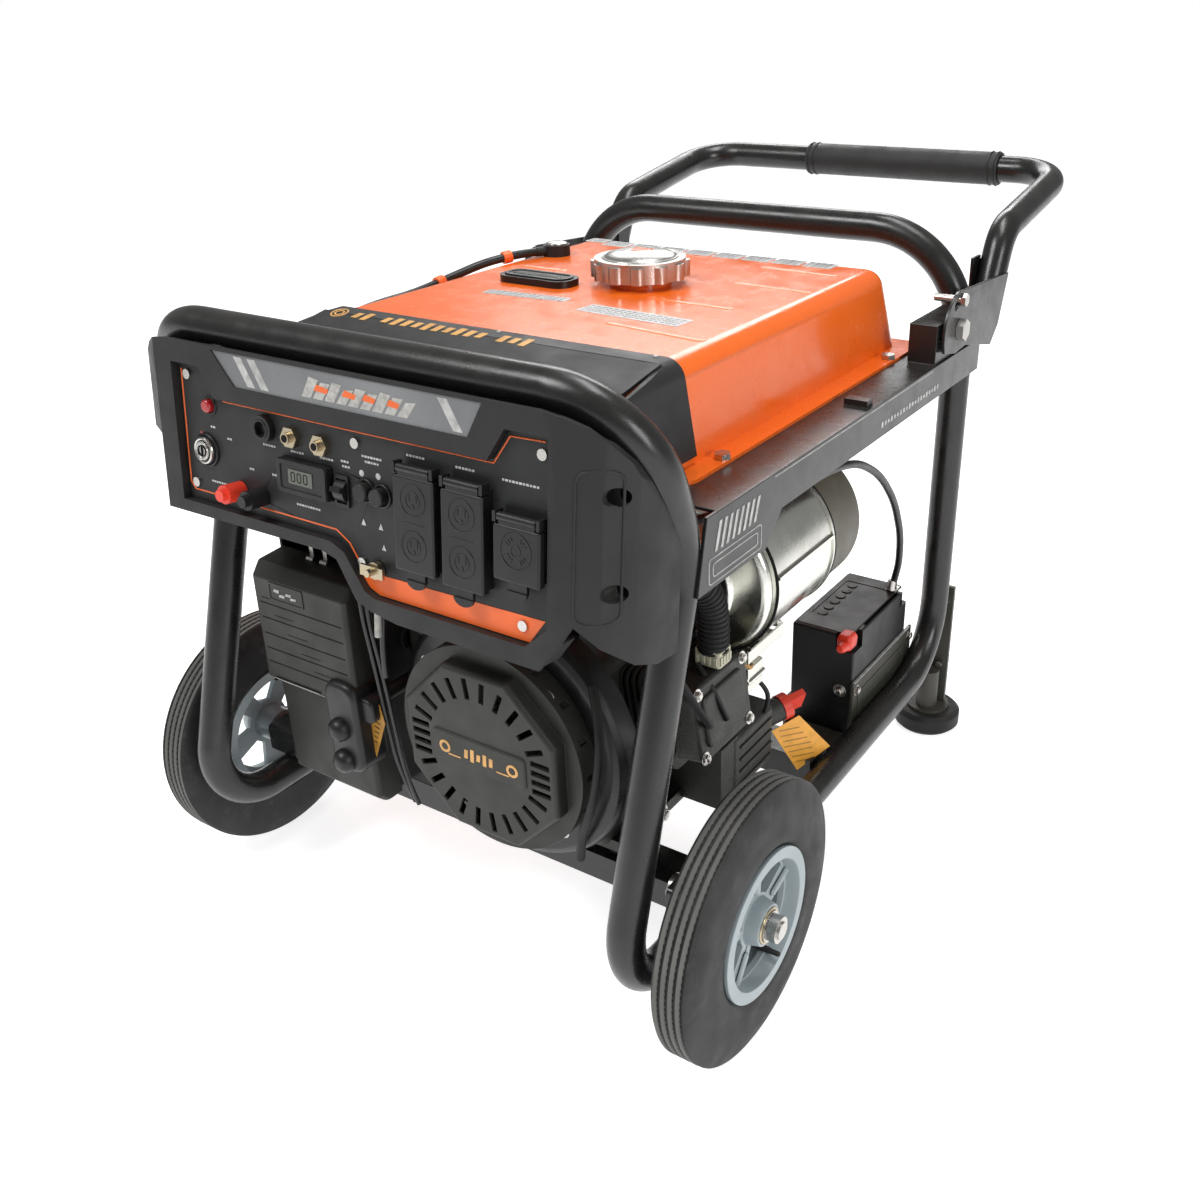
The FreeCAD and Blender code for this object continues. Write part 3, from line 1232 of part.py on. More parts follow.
def main():
    build_frame()
    build_side_rail("side_rail_right", 1)
    build_side_rail("side_rail_left", -1)
    build_cross_members()
    build_wheel_axles()
    build_feet()
    build_frame_bolts()
    build_wheel("right", 1)
    build_wheel("left", -1)
    build_bezel()
    build_panel_plate()
    build_panel_box()
    build_panel_fittings()
    build_outlets()
    build_controls()
    build_tank()
    build_tank_fittings()
    build_crankcase()
    build_cylinder()
    build_blower()
    build_rotating()
    build_alternator()
    build_mounts()
    build_air_cleaner()
    build_carburettor()
    build_exhaust()
    build_conduit()
    build_dipstick()
    build_battery()
    build_handle()
    doc.recompute()
    for item in doc.Objects:
        if "Invalid" in item.State or "Error" in item.State:
            raise RuntimeError(f"{item.Name} failed: {item.State}")
    os.makedirs("parts", exist_ok=True)
    for item in NODES:
        check(item)
        item.Shape.exportStep(f"parts/{item.Label}.step")
    print_route("vent_hose", VENT_ROUTE, 4.5)
    print_route("battery_cable", CABLE_ROUTE, 4)
    print(len(NODES), "pieces written")


main()
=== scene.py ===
import json
import math
import bmesh
import bpy
from mathutils import Matrix, Vector
from mathutils.bvhtree import BVHTree


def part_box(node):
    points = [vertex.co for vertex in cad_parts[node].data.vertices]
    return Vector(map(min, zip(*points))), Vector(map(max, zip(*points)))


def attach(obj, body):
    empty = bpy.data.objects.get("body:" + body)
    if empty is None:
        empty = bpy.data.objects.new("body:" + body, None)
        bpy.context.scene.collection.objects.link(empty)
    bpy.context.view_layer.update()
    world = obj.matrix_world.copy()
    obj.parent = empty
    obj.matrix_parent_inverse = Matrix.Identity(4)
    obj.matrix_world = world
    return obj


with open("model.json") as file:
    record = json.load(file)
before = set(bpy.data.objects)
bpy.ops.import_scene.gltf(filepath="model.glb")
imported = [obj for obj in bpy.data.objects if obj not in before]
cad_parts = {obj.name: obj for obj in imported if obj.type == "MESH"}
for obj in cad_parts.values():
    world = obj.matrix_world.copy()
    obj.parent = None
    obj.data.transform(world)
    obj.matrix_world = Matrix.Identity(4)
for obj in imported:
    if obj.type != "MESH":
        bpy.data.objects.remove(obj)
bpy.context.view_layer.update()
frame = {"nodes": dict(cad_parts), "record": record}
nodes = frame["nodes"]
scene = bpy.context.scene

MM = 0.001
Y_AXIS = Vector((0, 1, 0))
Z_AXIS = Vector((0, 0, 1))
FROM_FRONT = Vector((0, 1, 0))
FROM_RIGHT = Vector((-1, 0, 0))
FROM_LEFT = Vector((1, 0, 0))
FROM_TOP = Vector((0, 0, -1))


# ---------------------------------------------------------------- camera, floor and light

def camera_turn(azimuth, elevation, roll):
    """The camera's axes from the side it looks from, its height and its roll, in degrees."""
    a, e, r = (math.radians(v) for v in (azimuth, elevation, roll))
    back = Vector((math.sin(a) * math.cos(e), -math.cos(a) * math.cos(e), math.sin(e)))
    right = Vector((math.cos(a), math.sin(a), 0))
    up = back.cross(right)
    tilted_right = right * math.cos(r) + up * math.sin(r)
    tilted_up = up * math.cos(r) - right * math.sin(r)
    return Matrix((tilted_right, tilted_up, back)).transposed()


def make_camera():
    data = bpy.data.cameras.new("camera")
    camera = bpy.data.objects.new("camera", data)
    scene.collection.objects.link(camera)
    camera.matrix_world = camera_turn(33.18, 25.975, -1.119).to_4x4()
    camera.location = (0.6874, -1.0911, 0.8457)
    data.sensor_width = 36
    data.lens = 36.31
    data.shift_x = -0.0512
    data.shift_y = -0.0167
    data.clip_start = 0.05
    data.clip_end = 60
    scene.camera = camera


def area_light(name, place, aim, size, power):
    """A rectangular softbox that faces a point."""
    data = bpy.data.lights.new(name, "AREA")
    data.shape = "RECTANGLE"
    data.size, data.size_y = size
    data.energy = power
    light = bpy.data.objects.new(name, data)
    light.location = place
    light.rotation_euler = (Vector(aim) - Vector(place)).to_track_quat("-Z", "Y").to_euler()
    scene.collection.objects.link(light)


SKY_FOR_OBJECT = 0.3
SKY_FOR_EYE = 1.0
FLOOR_REACH = 14


def make_stage():
    """White sweep: an evenly bright sky for the eye, a dimmer one for the object."""
    world = bpy.data.worlds.new("world")
    world.use_nodes = True
    tree = world.node_tree
    background = tree.nodes["Background"]
    background.inputs["Color"].default_value = (1, 1, 1, 1)
    seen = tree.nodes.new("ShaderNodeLightPath")
    level = tree.nodes.new("ShaderNodeMapRange")
    level.inputs["To Min"].default_value = SKY_FOR_OBJECT
    level.inputs["To Max"].default_value = SKY_FOR_EYE
    tree.links.new(seen.outputs["Is Camera Ray"], level.inputs["Value"])
    tree.links.new(level.outputs["Result"], background.inputs["Strength"])
    scene.world = world
    mesh = bpy.data.meshes.new("floor")
    corners = [(x * FLOOR_REACH, y * FLOOR_REACH, 0) for x, y in ((-1, -1), (1, -1), (1, 1), (-1, 1))]
    mesh.from_pydata(corners, [], [(0, 1, 2, 3)])
    floor = bpy.data.objects.new("floor", mesh)
    scene.collection.objects.link(floor)
    mesh.materials.append(finish("floor_paper", (0.8, 0.8, 0.8), rough=0.95, vary=0.005, glow=0.95))
    area_light("key", (-0.9, -1.7, 2.5), (0, -0.1, 0.35), (1.1, 0.8), 42)
    area_light("side", (2.3, -0.9, 1.3), (0.1, -0.1, 0.3), (0.7, 1.2), 22)
    area_light("top", (0.2, 0.2, 2.6), (0, 0, 0.4), (1.5, 0.5), 26)
    area_light("back", (-1.2, 2.2, 1.9), (0, 0.1, 0.4), (1.6, 0.9), 26)


# ---------------------------------------------------------------- finishes

DUST_TONE = (0.42, 0.39, 0.35)


def finish(name, colour, rough=0.5, metal=0.0, vary=0.06, grain=0.0, grain_size=900, patch_size=9,
           coat=0.0, dust=0.0, wear=0.0, glow=None, brushed=None, gloss=0.5):
    """A finish whose tone, gloss and surface vary: broad patches, fine grain, settled dust, rubbed spots."""
    material = bpy.data.materials.new(name)
    material.use_nodes = True
    tree = material.node_tree
    shader = tree.nodes["Principled BSDF"]
    make = tree.nodes.new
    link = tree.links.new
    place = make("ShaderNodeTexCoord")

    def noise(size, detail, stretch=None):
        texture = make("ShaderNodeTexNoise")
        texture.inputs["Scale"].default_value = size
        texture.inputs["Detail"].default_value = detail
        if stretch:
            spread = make("ShaderNodeMapping")
            spread.inputs["Scale"].default_value = stretch
            link(place.outputs["Object"], spread.inputs["Vector"])
            link(spread.outputs["Vector"], texture.inputs["Vector"])
        else:
            link(place.outputs["Object"], texture.inputs["Vector"])
        return texture.outputs["Fac"]

    def ranged(source, low, high, start=0.3, end=0.7):
        step = make("ShaderNodeMapRange")
        for key, value in zip(("From Min", "From Max", "To Min", "To Max"), (start, end, low, high)):
            step.inputs[key].default_value = value
        link(source, step.inputs["Value"])
        return step.outputs["Result"]

    def mixed(amount, below, above):
        mix = make("ShaderNodeMix")
        mix.data_type = "RGBA"
        link(amount, mix.inputs["Factor"])
        for socket, value in ((mix.inputs["A"], below), (mix.inputs["B"], above)):
            if isinstance(value, tuple):
                socket.default_value = (*value, 1)
            else:
                link(value, socket)
        return mix.outputs["Result"]

    patches = noise(patch_size, 5)
    dark = tuple(c * (1 - vary) for c in colour)
    light = tuple(min(1, c * (1 + vary)) for c in colour)
    tone = mixed(ranged(patches, 0, 1), dark, light)
    if wear:
        spots = noise(60, 8)
        rubbed = tuple(min(1, c * 0.5 + 0.22) for c in colour)
        tone = mixed(ranged(spots, 0, wear, 0.58, 0.74), tone, rubbed)
    if dust:
        facing = make("ShaderNodeNewGeometry")
        split = make("ShaderNodeSeparateXYZ")
        link(facing.outputs["Normal"], split.inputs["Vector"])
        upward = ranged(split.outputs["Z"], 0, 1, 0.2, 1.0)
        spread = make("ShaderNodeMath")
        spread.operation = "MULTIPLY"
        link(upward, spread.inputs[0])
        link(ranged(noise(26, 6), 0.15 * dust, dust), spread.inputs[1])
        tone = mixed(spread.outputs["Value"], tone, DUST_TONE)
    link(tone, shader.inputs["Base Color"])
    fine = noise(grain_size, 3, brushed)
    link(ranged(noise(38, 6), max(0.03, rough - 0.07), min(1, rough + 0.09)), shader.inputs["Roughness"])
    shader.inputs["Metallic"].default_value = metal
    shader.inputs["Specular IOR Level"].default_value = gloss
    shader.inputs["Coat Weight"].default_value = coat
    shader.inputs["Coat Roughness"].default_value = 0.08
    if glow:
        shader.inputs["Emission Color"].default_value = (*colour, 1)
        shader.inputs["Emission Strength"].default_value = glow
    if grain:
        bump = make("ShaderNodeBump")
        bump.inputs["Strength"].default_value = grain
        bump.inputs["Distance"].default_value = 0.0006
        link(fine, bump.inputs["Height"])
        link(bump.outputs["Normal"], shader.inputs["Normal"])
    return material


make_camera()
scene.view_settings.view_transform = "Standard"
LOOKS = {
    "frame_paint": dict(colour=(0.0092, 0.0092, 0.0088), rough=0.27, grain=0.12, grain_size=1400, dust=0.04),
    "tank_paint": dict(colour=(0.84, 0.14, 0.012), rough=0.24, vary=0.03, coat=0.25, grain=0.03, gloss=0.4),
    "dark_plastic": dict(colour=(0.0135, 0.014, 0.0135), rough=0.5, grain=0.35, dust=0.04, gloss=0.35),
    "panel_plastic": dict(colour=(0.011, 0.011, 0.011), rough=0.52, grain=0.35, dust=0.04, gloss=0.4),
    "plate_face": dict(colour=(0.016, 0.0165, 0.0175), rough=0.5, vary=0.1, grain=0.2, gloss=0.35),
    "socket_plastic": dict(colour=(0.0054, 0.0054, 0.0059), rough=0.38, grain=0.2, dust=0.03, gloss=0.4),
    "lamp_red": dict(colour=(0.35, 0.008, 0.012), rough=0.18, coat=0.5),
    "red_plastic": dict(colour=(0.72, 0.045, 0.02), rough=0.36, grain=0.15),
    "zinc": dict(colour=(0.527, 0.51, 0.4845), rough=0.28, metal=1, grain=0.25, grain_size=500),
    "brass": dict(colour=(0.44, 0.376, 0.264), rough=0.28, metal=1, grain=0.2),
    "cast_alloy": dict(colour=(0.051, 0.051, 0.0468), rough=0.5, metal=0.7, grain=0.9, grain_size=420),
    "bright_steel": dict(colour=(0.66, 0.66, 0.61), rough=0.24, metal=1, vary=0.12, grain=0.12,
                         grain_size=300),
    "black_metal": dict(colour=(0.006, 0.006, 0.006), rough=0.34, grain=0.3, dust=0.03, gloss=0.45),
    "steel": dict(colour=(0.48, 0.48, 0.47), rough=0.3, metal=1, grain=0.2, brushed=(1, 12, 12)),
    "rotor_iron": dict(colour=(0.16, 0.15, 0.14), rough=0.5, metal=0.9, grain=0.5),
    "rubber": dict(colour=(0.0065, 0.0065, 0.007), rough=0.6, grain=0.4, dust=0.1, gloss=0.35),
    "tyre": dict(colour=(0.0096, 0.0096, 0.0096), rough=0.6, grain=0.5, grain_size=700, dust=0.12, wear=0.08,
                 gloss=0.4),
    "rim_paint": dict(colour=(0.30, 0.35, 0.37), rough=0.36, grain=0.2, wear=0.1),
    "foam": dict(colour=(0.006, 0.006, 0.006), rough=0.5, grain=0.8, grain_size=1600, dust=0.04),
    "battery_case": dict(colour=(0.0055, 0.0055, 0.0055), rough=0.42, grain=0.35, dust=0.06, gloss=0.4),
    "cable": dict(colour=(0.005, 0.005, 0.005), rough=0.36, grain=0.25),
    # looks that share a slot with one of the above
    "recoil_paint": dict(colour=(0.0244, 0.0244, 0.0202), rough=0.48, grain=0.4, dust=0.03, gloss=0.35),
    "cleaner_plastic": dict(colour=(0.018, 0.0185, 0.0155), rough=0.46, grain=0.35, dust=0.03, gloss=0.35),
    "tank_cover_plastic": dict(colour=(0.017, 0.017, 0.018), rough=0.48, grain=0.3, dust=0.03, gloss=0.35),
    "orange_line": dict(colour=(0.70, 0.12, 0.02), rough=0.4, vary=0.1),
    "orange_band": dict(colour=(0.78, 0.125, 0.016), rough=0.42, vary=0.05),
    "white_mark": dict(colour=(0.434, 0.434, 0.434), rough=0.5, vary=0.25, patch_size=300),
    "gold_mark": dict(colour=(0.62, 0.33, 0.10), rough=0.42, vary=0.2, patch_size=120),
    "grey_label": dict(colour=(0.42, 0.42, 0.42), rough=0.34, vary=0.3, patch_size=160),
    "pale_label": dict(colour=(0.372, 0.366, 0.342), rough=0.4, vary=0.25, patch_size=240),
    "sign_face": dict(colour=(0.144, 0.1485, 0.153), rough=0.3, vary=0.35, patch_size=5),
    "screen": dict(colour=(0.060, 0.068, 0.048), rough=0.16, coat=0.4, vary=0.1),
    "exhaust_olive": dict(colour=(0.1035, 0.0972, 0.072), rough=0.5, vary=0.25, grain=0.4, wear=0.1),
    "holder_olive": dict(colour=(0.0425, 0.0415, 0.032), rough=0.5, grain=0.3, dust=0.05),
    "warning_tag": dict(colour=(0.82, 0.38, 0.05), rough=0.46, vary=0.12, patch_size=90),
    "amber_label": dict(colour=(0.42, 0.21, 0.03), rough=0.46, vary=0.2, patch_size=90),
    "cream_plug": dict(colour=(0.47, 0.46, 0.34), rough=0.45, grain=0.2),
    "clip_orange": dict(colour=(0.80, 0.14, 0.02), rough=0.4, grain=0.1),
    # pale grey: the own colour of stripes, marks and studs, and painted highlight on the sign's streaks and
    # along the rail and holder edges
    "pale_marks_and_highlight": dict(colour=(0.38, 0.38, 0.37), rough=0.4, vary=0.3, patch_size=120),
    # near black: the own colour of digits, seams, ribs and button centres, and painted shade in the key slot
    # and the wing's bolt holes
    "flat_black_and_shade": dict(colour=(0.003, 0.003, 0.003), rough=0.7, gloss=0.2),
    # pale grey on the tread ribs: partly dust, partly painted highlight
    "tread_dust_and_highlight": dict(colour=(0.115, 0.115, 0.108), rough=0.7, vary=0.2, grain=0.5, gloss=0.3),
}
FINISHES = {name: finish(name, **look) for name, look in LOOKS.items()}
make_stage()


# ---------------------------------------------------------------- design pieces

CRISP_ANGLE = math.radians(35)


def soften(item, edge=0.6):
    """Joins the faces' shared corners and rounds the crisp edges, so that they catch light."""
    if "custom_normal" in item.data.attributes:
        item.data.attributes.remove(item.data.attributes["custom_normal"])
    item.data.shade_smooth()
    weld = item.modifiers.new("weld", "WELD")
    weld.merge_threshold = 0.01 * MM
    bevel = item.modifiers.new("edges", "BEVEL")
    bevel.width = edge * MM
    bevel.segments = 2
    bevel.limit_method = "ANGLE"
    bevel.angle_limit = CRISP_ANGLE
    bevel.harden_normals = False
    bevel.use_clamp_overlap = True
    shading = item.modifiers.new("shading", "WEIGHTED_NORMAL")
    shading.keep_sharp = True


def repaint(name, look, test):
    """Gives the faces of a design piece whose middle passes the test another finish."""
    mesh = nodes[name].data
    mesh.materials.append(FINISHES[look])
    index = len(mesh.materials) - 1
    for face in mesh.polygons:
        if test(face.center):
            face.material_index = index


OWN_LOOK = {
    "recoil_cover": "recoil_paint", "air_cleaner_cover": "cleaner_plastic", "battery_holder": "holder_olive",
    "tank_cover": "tank_cover_plastic", "foot_brackets": "holder_olive",
}
slots = {part["node"]: part["material_slot"] for part in frame["record"]["subparts"]}
for name, item in nodes.items():
    item.data.materials.clear()
    item.data.materials.append(FINISHES[OWN_LOOK.get(name, slots[name])])
    soften(item)


# ---------------------------------------------------------------- shapes for the details

UNIT = Matrix.Identity(4)


def skin(bm, rings, place=UNIT):
    """Joins rings of points, in millimetres, into a closed body."""
    rows = [[bm.verts.new(place @ (Vector(point) * MM)) for point in ring] for ring in rings]
    count = len(rows[0])
    for low, high in zip(rows, rows[1:]):
        for i in range(count):
            j = (i + 1) % count
            bm.faces.new((low[i], low[j], high[j], high[i]))
    bm.faces.new(rows[0][::-1])
    bm.faces.new(rows[-1])


def level(outline, z):
    """A flat outline raised to a height."""
    return [(x, y, z) for x, y in outline]


def prism(bm, outline, low, high, place=UNIT):
    skin(bm, [level(outline, low), level(outline, high)], place)


def raised_frame(bm, outer, inner, low, high, bottom, place=UNIT):
    """A frame that stands on a surface round a shallow well."""
    skin(bm, [level(outer, low), level(outer, high), level(inner, high), level(inner, bottom)], place)


def slab(bm, size, middle=(0, 0, 0), place=UNIT):
    (w, d, h), (x, y, z) = size, middle
    corners = ((-1, -1), (1, -1), (1, 1), (-1, 1))
    outline = [(x + side * w / 2, y + end * d / 2) for side, end in corners]
    prism(bm, outline, z - h / 2, z + h / 2, place)


def rounded(w, d, corner, x=0, y=0, steps=5):
    """Outline of a rectangle with round corners."""
    points = []
    for cx, cy, start in ((1, 1, 0), (-1, 1, 90), (-1, -1, 180), (1, -1, 270)):
        for i in range(steps + 1):
            a = math.radians(start + 90 * i / steps)
            points.append((x + cx * (w / 2 - corner) + corner * math.cos(a),
                           y + cy * (d / 2 - corner) + corner * math.sin(a)))
    return points


def round_body(bm, profile, place=UNIT, steps=36):
    """A turned body from (radius, height) pairs; its ends are flat."""
    turns = [2 * math.pi * i / steps for i in range(steps)]
    skin(bm, [[(r * math.cos(a), r * math.sin(a), z) for a in turns] for r, z in profile], place)


def hoop(bm, radius, wire, place=UNIT, steps=48, sides=8, flat=1.0):
    """A closed ring of round wire."""
    rows = []
    for i in range(steps):
        a = 2 * math.pi * i / steps
        ring = []
        for j in range(sides):
            b = 2 * math.pi * j / sides
            r = radius + wire * math.cos(b)
            point = Vector((r * math.cos(a), r * math.sin(a), wire * flat * math.sin(b)))
            ring.append(bm.verts.new(place @ (point * MM)))
        rows.append(ring)
    for i, ring in enumerate(rows):
        ahead = rows[(i + 1) % steps]
        for j in range(sides):
            k = (j + 1) % sides
            bm.faces.new((ring[j], ahead[j], ahead[k], ring[k]))


def hexagon(bm, radius, low, high, place=UNIT):
    corners = [math.radians(60 * i) for i in range(6)]
    prism(bm, [(radius * math.cos(a), radius * math.sin(a)) for a in corners], low, high, place)


def finished(name, bm, look, body="chassis", edge=0.3):
    """Turns the built shape into a piece with its finish, on its body; edge is the rounding, in mm."""
    bmesh.ops.recalc_face_normals(bm, faces=bm.faces)
    mesh = bpy.data.meshes.new(name)
    bm.to_mesh(mesh)
    bm.free()
    item = bpy.data.objects.new(name, mesh)
    scene.collection.objects.link(item)
    mesh.materials.append(FINISHES[look])
    soften(item, edge)
    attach(item, body)


def line_curve(name, points, smooth, steps):
    """A curve object through or near points in millimetres."""
    data = bpy.data.curves.new(name, "CURVE")
    data.dimensions = "3D"
    data.resolution_u = steps
    spline = data.splines.new("NURBS" if smooth else "POLY")
    spline.points.add(len(points) - 1)
    for target, point in zip(spline.points, points):
        target.co = (*(Vector(point) * MM), 1)
    if smooth:
        spline.order_u = 3
        spline.use_endpoint_u = True
    return bpy.data.objects.new(name, data)


def lead(name, points, radius, look="cable", body="chassis", smooth=True):
    """A round wire or moulding along points in millimetres."""
    item = line_curve(name, points, smooth, 8)
    item.data.bevel_depth = radius * MM
    item.data.bevel_resolution = 3
    item.data.use_fill_caps = True
    scene.collection.objects.link(item)
    item.data.materials.append(FINISHES[look])
    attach(item, body)


TREES = {}


def seat(node, point, direction, up=Z_AXIS):
    """Where a line through a point meets a design piece: a place with Z out of the surface."""
    if node not in TREES:
        mesh = nodes[node].data
        TREES[node] = BVHTree.FromPolygons([v.co.copy() for v in mesh.vertices],
                                           [tuple(face.vertices) for face in mesh.polygons])
    start = Vector(point) * MM - direction * 2
    hit, normal = TREES[node].ray_cast(start, direction)[:2]
    if hit is None:
        raise RuntimeError(f"nothing of {node} lies behind {point}")
    if normal.dot(direction) > 0:
        normal = -normal
    across = up.cross(normal).normalized()
    upward = normal.cross(across)
    return Matrix.Translation(hit) @ Matrix((across, upward, normal)).transposed().to_4x4()


def trace(name, node, outline, direction, radius, look):
    """A moulded line that follows a closed outline over a design piece."""
    points = [seat(node, point, direction).translation / MM for point in outline]
    lead(name, points + points[:1], radius, look, smooth=False)


def turned(angle, axis="Z"):
    return Matrix.Rotation(math.radians(angle), 4, axis)


def moved(x, y, z):
    return Matrix.Translation(Vector((x, y, z)) * MM)


def bolt(bm, place, radius):
    """A hexagon bolt head with a domed top on its washer."""
    round_body(bm, [(radius * 1.55, 0), (radius * 1.55, radius * 0.22)], place, 28)
    hexagon(bm, radius * 1.08, 0, radius * 0.95, place)
    dome = [(0.82, 0.9), (0.7, 1.12), (0.3, 1.2)]
    round_body(bm, [(radius * across, radius * up) for across, up in dome], place, 20)


def screw(bm, place, radius):
    """A pan head."""
    round_body(bm, [(radius, 0), (radius, radius * 0.25), (radius * 0.8, radius * 0.55),
                    (radius * 0.35, radius * 0.66)], place, 24)


# ---------------------------------------------------------------- control panel

TILT = math.radians(6.2)
PANEL = Matrix(((1, 0, 0, 0),
                (0, math.sin(TILT), -math.cos(TILT), -0.4955),
                (0, math.cos(TILT), math.sin(TILT), 0.5),
                (0, 0, 0, 1)))
FACE = -7.0


def on_panel(x, v, out=FACE):
    return PANEL @ moved(x, v, out)


def panel_line(name, points):
    """A thin orange line on the panel's face."""
    spots = [on_panel(x, v).translation / MM for x, v in points]
    lead(name, spots, 0.75, "orange_line", smooth=False)


def dress_panel_face():
    """Orange line and band, and the sign with its plain slanted blocks and painted highlight streaks."""
    panel_line("panel_line_left", [(-186, 71), (-187, -27), (-182, -33), (-11, -34), (3, -42), (15, -58)])
    panel_line("panel_line_top", [(-136, 50), (151, 50), (166, 72), (197, 73)])
    bm = bmesh.new()
    prism(bm, [(11, -62), (198, -59), (184, -79), (34, -79), (24, -75)], FACE, FACE + 0.4, PANEL)
    finished("panel_band", bm, "orange_band", edge=0.12)
    bm = bmesh.new()
    prism(bm, [(-139, 93.5), (-112.6, 65.6), (132.5, 65.6), (146.5, 93.5)], -3.4, -1.2, PANEL)
    finished("sign_plate", bm, "sign_face", edge=0.3)
    bm = bmesh.new()
    for i in range(9):
        x = -26 + i * 12.5
        rise = (3, 0, 2, -2, 1, -1, 2, 0, -2)[i]
        patch = [(x, 84 + rise), (x - 9, 70.5), (x + 1, 70.5), (x + 10, 84 + rise / 2)]
        prism(bm, patch, -1.3, -0.9, PANEL)
    finished("sign_patches", bm, "pale_label", edge=0.1)
    bm = bmesh.new()
    for i, x in enumerate((-18, 12, 33, 58)):
        prism(bm, [(x, 82), (x - 3, 77), (x + 11 - i, 76), (x + 13 - i, 80)], -1.0, -0.7, PANEL)
    finished("sign_blocks", bm, "orange_line", edge=0.1)
    # painted highlight: pale slanted streaks across the sign plate stand for its gleam
    bm = bmesh.new()
    for x in (-112, -96, 104):
        prism(bm, [(x, 91), (x + 9, 91), (x + 24, 68.5), (x + 15, 68.5)], -1.3, -1.0, PANEL)
    finished("sign_gleams", bm, "pale_marks_and_highlight", edge=0.1)


# (x, v, width) of the small bars that stand for captions, and (x, v, radius) of the breakers' signs
DASHES = [(-83.5, 22, 16), (-51, 22, 15), (-18, 22.5, 16), (-42, -21.5, 30), (-149, -21.7, 22), (2, 24, 11),
          (3, 20, 9), (31, 32, 22), (31, 28, 15), (76, 41, 20), (124, 40.6, 20), (175, 39.5, 36),
          (-152, 26, 7), (-132, 19, 6), (-107, -2, 5), (-80, -2, 7), (-96, 38, 4), (-64, 37, 3), (-31, 36, 3)]
DOTS = [(19.9, 18.1, 2.6), (37.3, 18.6, 2.6), (19.6, -21.5, 2.4), (38, -21.6, 2.4), (40.4, -38, 2.2)]


def dress_panel_marks():
    """Small white bars in place of captions, and the signs above and below the breakers."""
    bm = bmesh.new()
    for x, v, wide in DASHES:
        steps = max(1, round(wide / 3.2))
        for i in range(steps):
            along = x + (i - (steps - 1) / 2) * 3.1
            slab(bm, (2.0 + 0.6 * (i % 2), 1.7, 0.3), (along, v, FACE + 0.1), PANEL)
    finished("panel_dashes", bm, "white_mark", edge=0.05)
    bm = bmesh.new()
    for x, v, radius in DOTS:
        place = on_panel(x, v)
        if v > 0:
            round_body(bm, [(radius, 0), (radius, 0.3)], place, 24)
        else:
            prism(bm, [(-radius, -radius), (radius, -radius), (0, radius * 1.2)], 0, 0.3, place)
    finished("panel_signs", bm, "white_mark", edge=0.05)
    bm = bmesh.new()
    round_body(bm, [(1.6, 0), (1.4, 0.5)], on_panel(-167, 18.8), 18)
    finished("key_mark", bm, "lamp_red", edge=0.08)


KEY = (-161, 5)
INPUT_SOCKET = (-86, 36)
INPUT_SOCKET_EDGE = -70
RESETS = ((-55, 34), (-22, 33))
BREAKERS = ((24, 5), (41, 4))
LAMP = (-153, 44)
METER = (-40, 3)
ROCKER = (-1, 0)


def dress_controls():
    """Rings and faces round the lamp, key, sockets, resets and breakers."""
    bm = bmesh.new()
    hoop(bm, 13.2, 1.6, on_panel(*KEY), flat=1.6)
    hoop(bm, 7.2, 0.9, on_panel(*INPUT_SOCKET, -1.0))
    for spot in BREAKERS:
        hoop(bm, 8.6, 1.5, on_panel(*spot), flat=1.4)
    finished("control_collars", bm, "socket_plastic", edge=0.1)
    bm = bmesh.new()
    hoop(bm, 10.2, 1.5, on_panel(*KEY, -3.0), flat=1.3)
    hoop(bm, 6.6, 0.7, on_panel(*KEY, -1.0))
    finished("key_rings", bm, "zinc", edge=0.1)
    bm = bmesh.new()
    hoop(bm, 4.6, 0.6, on_panel(*KEY, -0.8))
    slab(bm, (1.6, 7.6, 1.0), (0, 0, -0.7), on_panel(*KEY, 0))
    finished("key_slot_shade", bm, "flat_black_and_shade", "start_key", edge=0.1)
    bm = bmesh.new()
    hoop(bm, 6.9, 1.3, on_panel(*LAMP), flat=1.2)
    finished("lamp_ring", bm, "socket_plastic", edge=0.1)
    bm = bmesh.new()
    for spot in RESETS:
        round_body(bm, [(3.2, 0), (3.0, 0.5)], on_panel(*spot, 2.0), 20)
    finished("reset_centres", bm, "flat_black_and_shade", edge=0.1)


def dress_meter():
    """The meter's frame, its screen with three noughts, and the rocker's frame."""
    place = on_panel(*METER, 0)
    bm = bmesh.new()
    raised_frame(bm, rounded(55, 27, 2.5), rounded(47, 20, 1.5), 0, 1.2, 0.3, place)
    finished("meter_frame", bm, "socket_plastic", edge=0.2)
    bm = bmesh.new()
    prism(bm, rounded(27, 12, 1, -1, 0.8), 0.2, 0.9, place)
    finished("meter_screen", bm, "screen", edge=0.1)
    bm = bmesh.new()
    for i in range(3):
        middle = -9 + 7 * i
        for height in (4.4, -2.8):
            slab(bm, (3.4, 0.8, 0.2), (middle, height, 1.0), place)
        for aside in (-2, 2):
            slab(bm, (0.8, 6.4, 0.2), (middle + aside, 0.8, 1.0), place)
    finished("meter_zeros", bm, "flat_black_and_shade", edge=0.04)
    bm = bmesh.new()
    raised_frame(bm, rounded(15, 26, 2), rounded(11.4, 20, 1), 0, 2.4, 0.2, on_panel(*ROCKER))
    finished("rocker_frame", bm, "socket_plastic", edge=0.2)


# body: node, middle and the heights of its one or two sockets
COVERS = {"left_outlet_cover": ("outlet_cover_left", 83, (11.2, -24.7)),
          "right_outlet_cover": ("outlet_cover_right", 130, (9.5, -26.5)),
          "twist_outlet_cover": ("twist_cover", 180, (-6.5,))}
COVER_FACE = 5.0


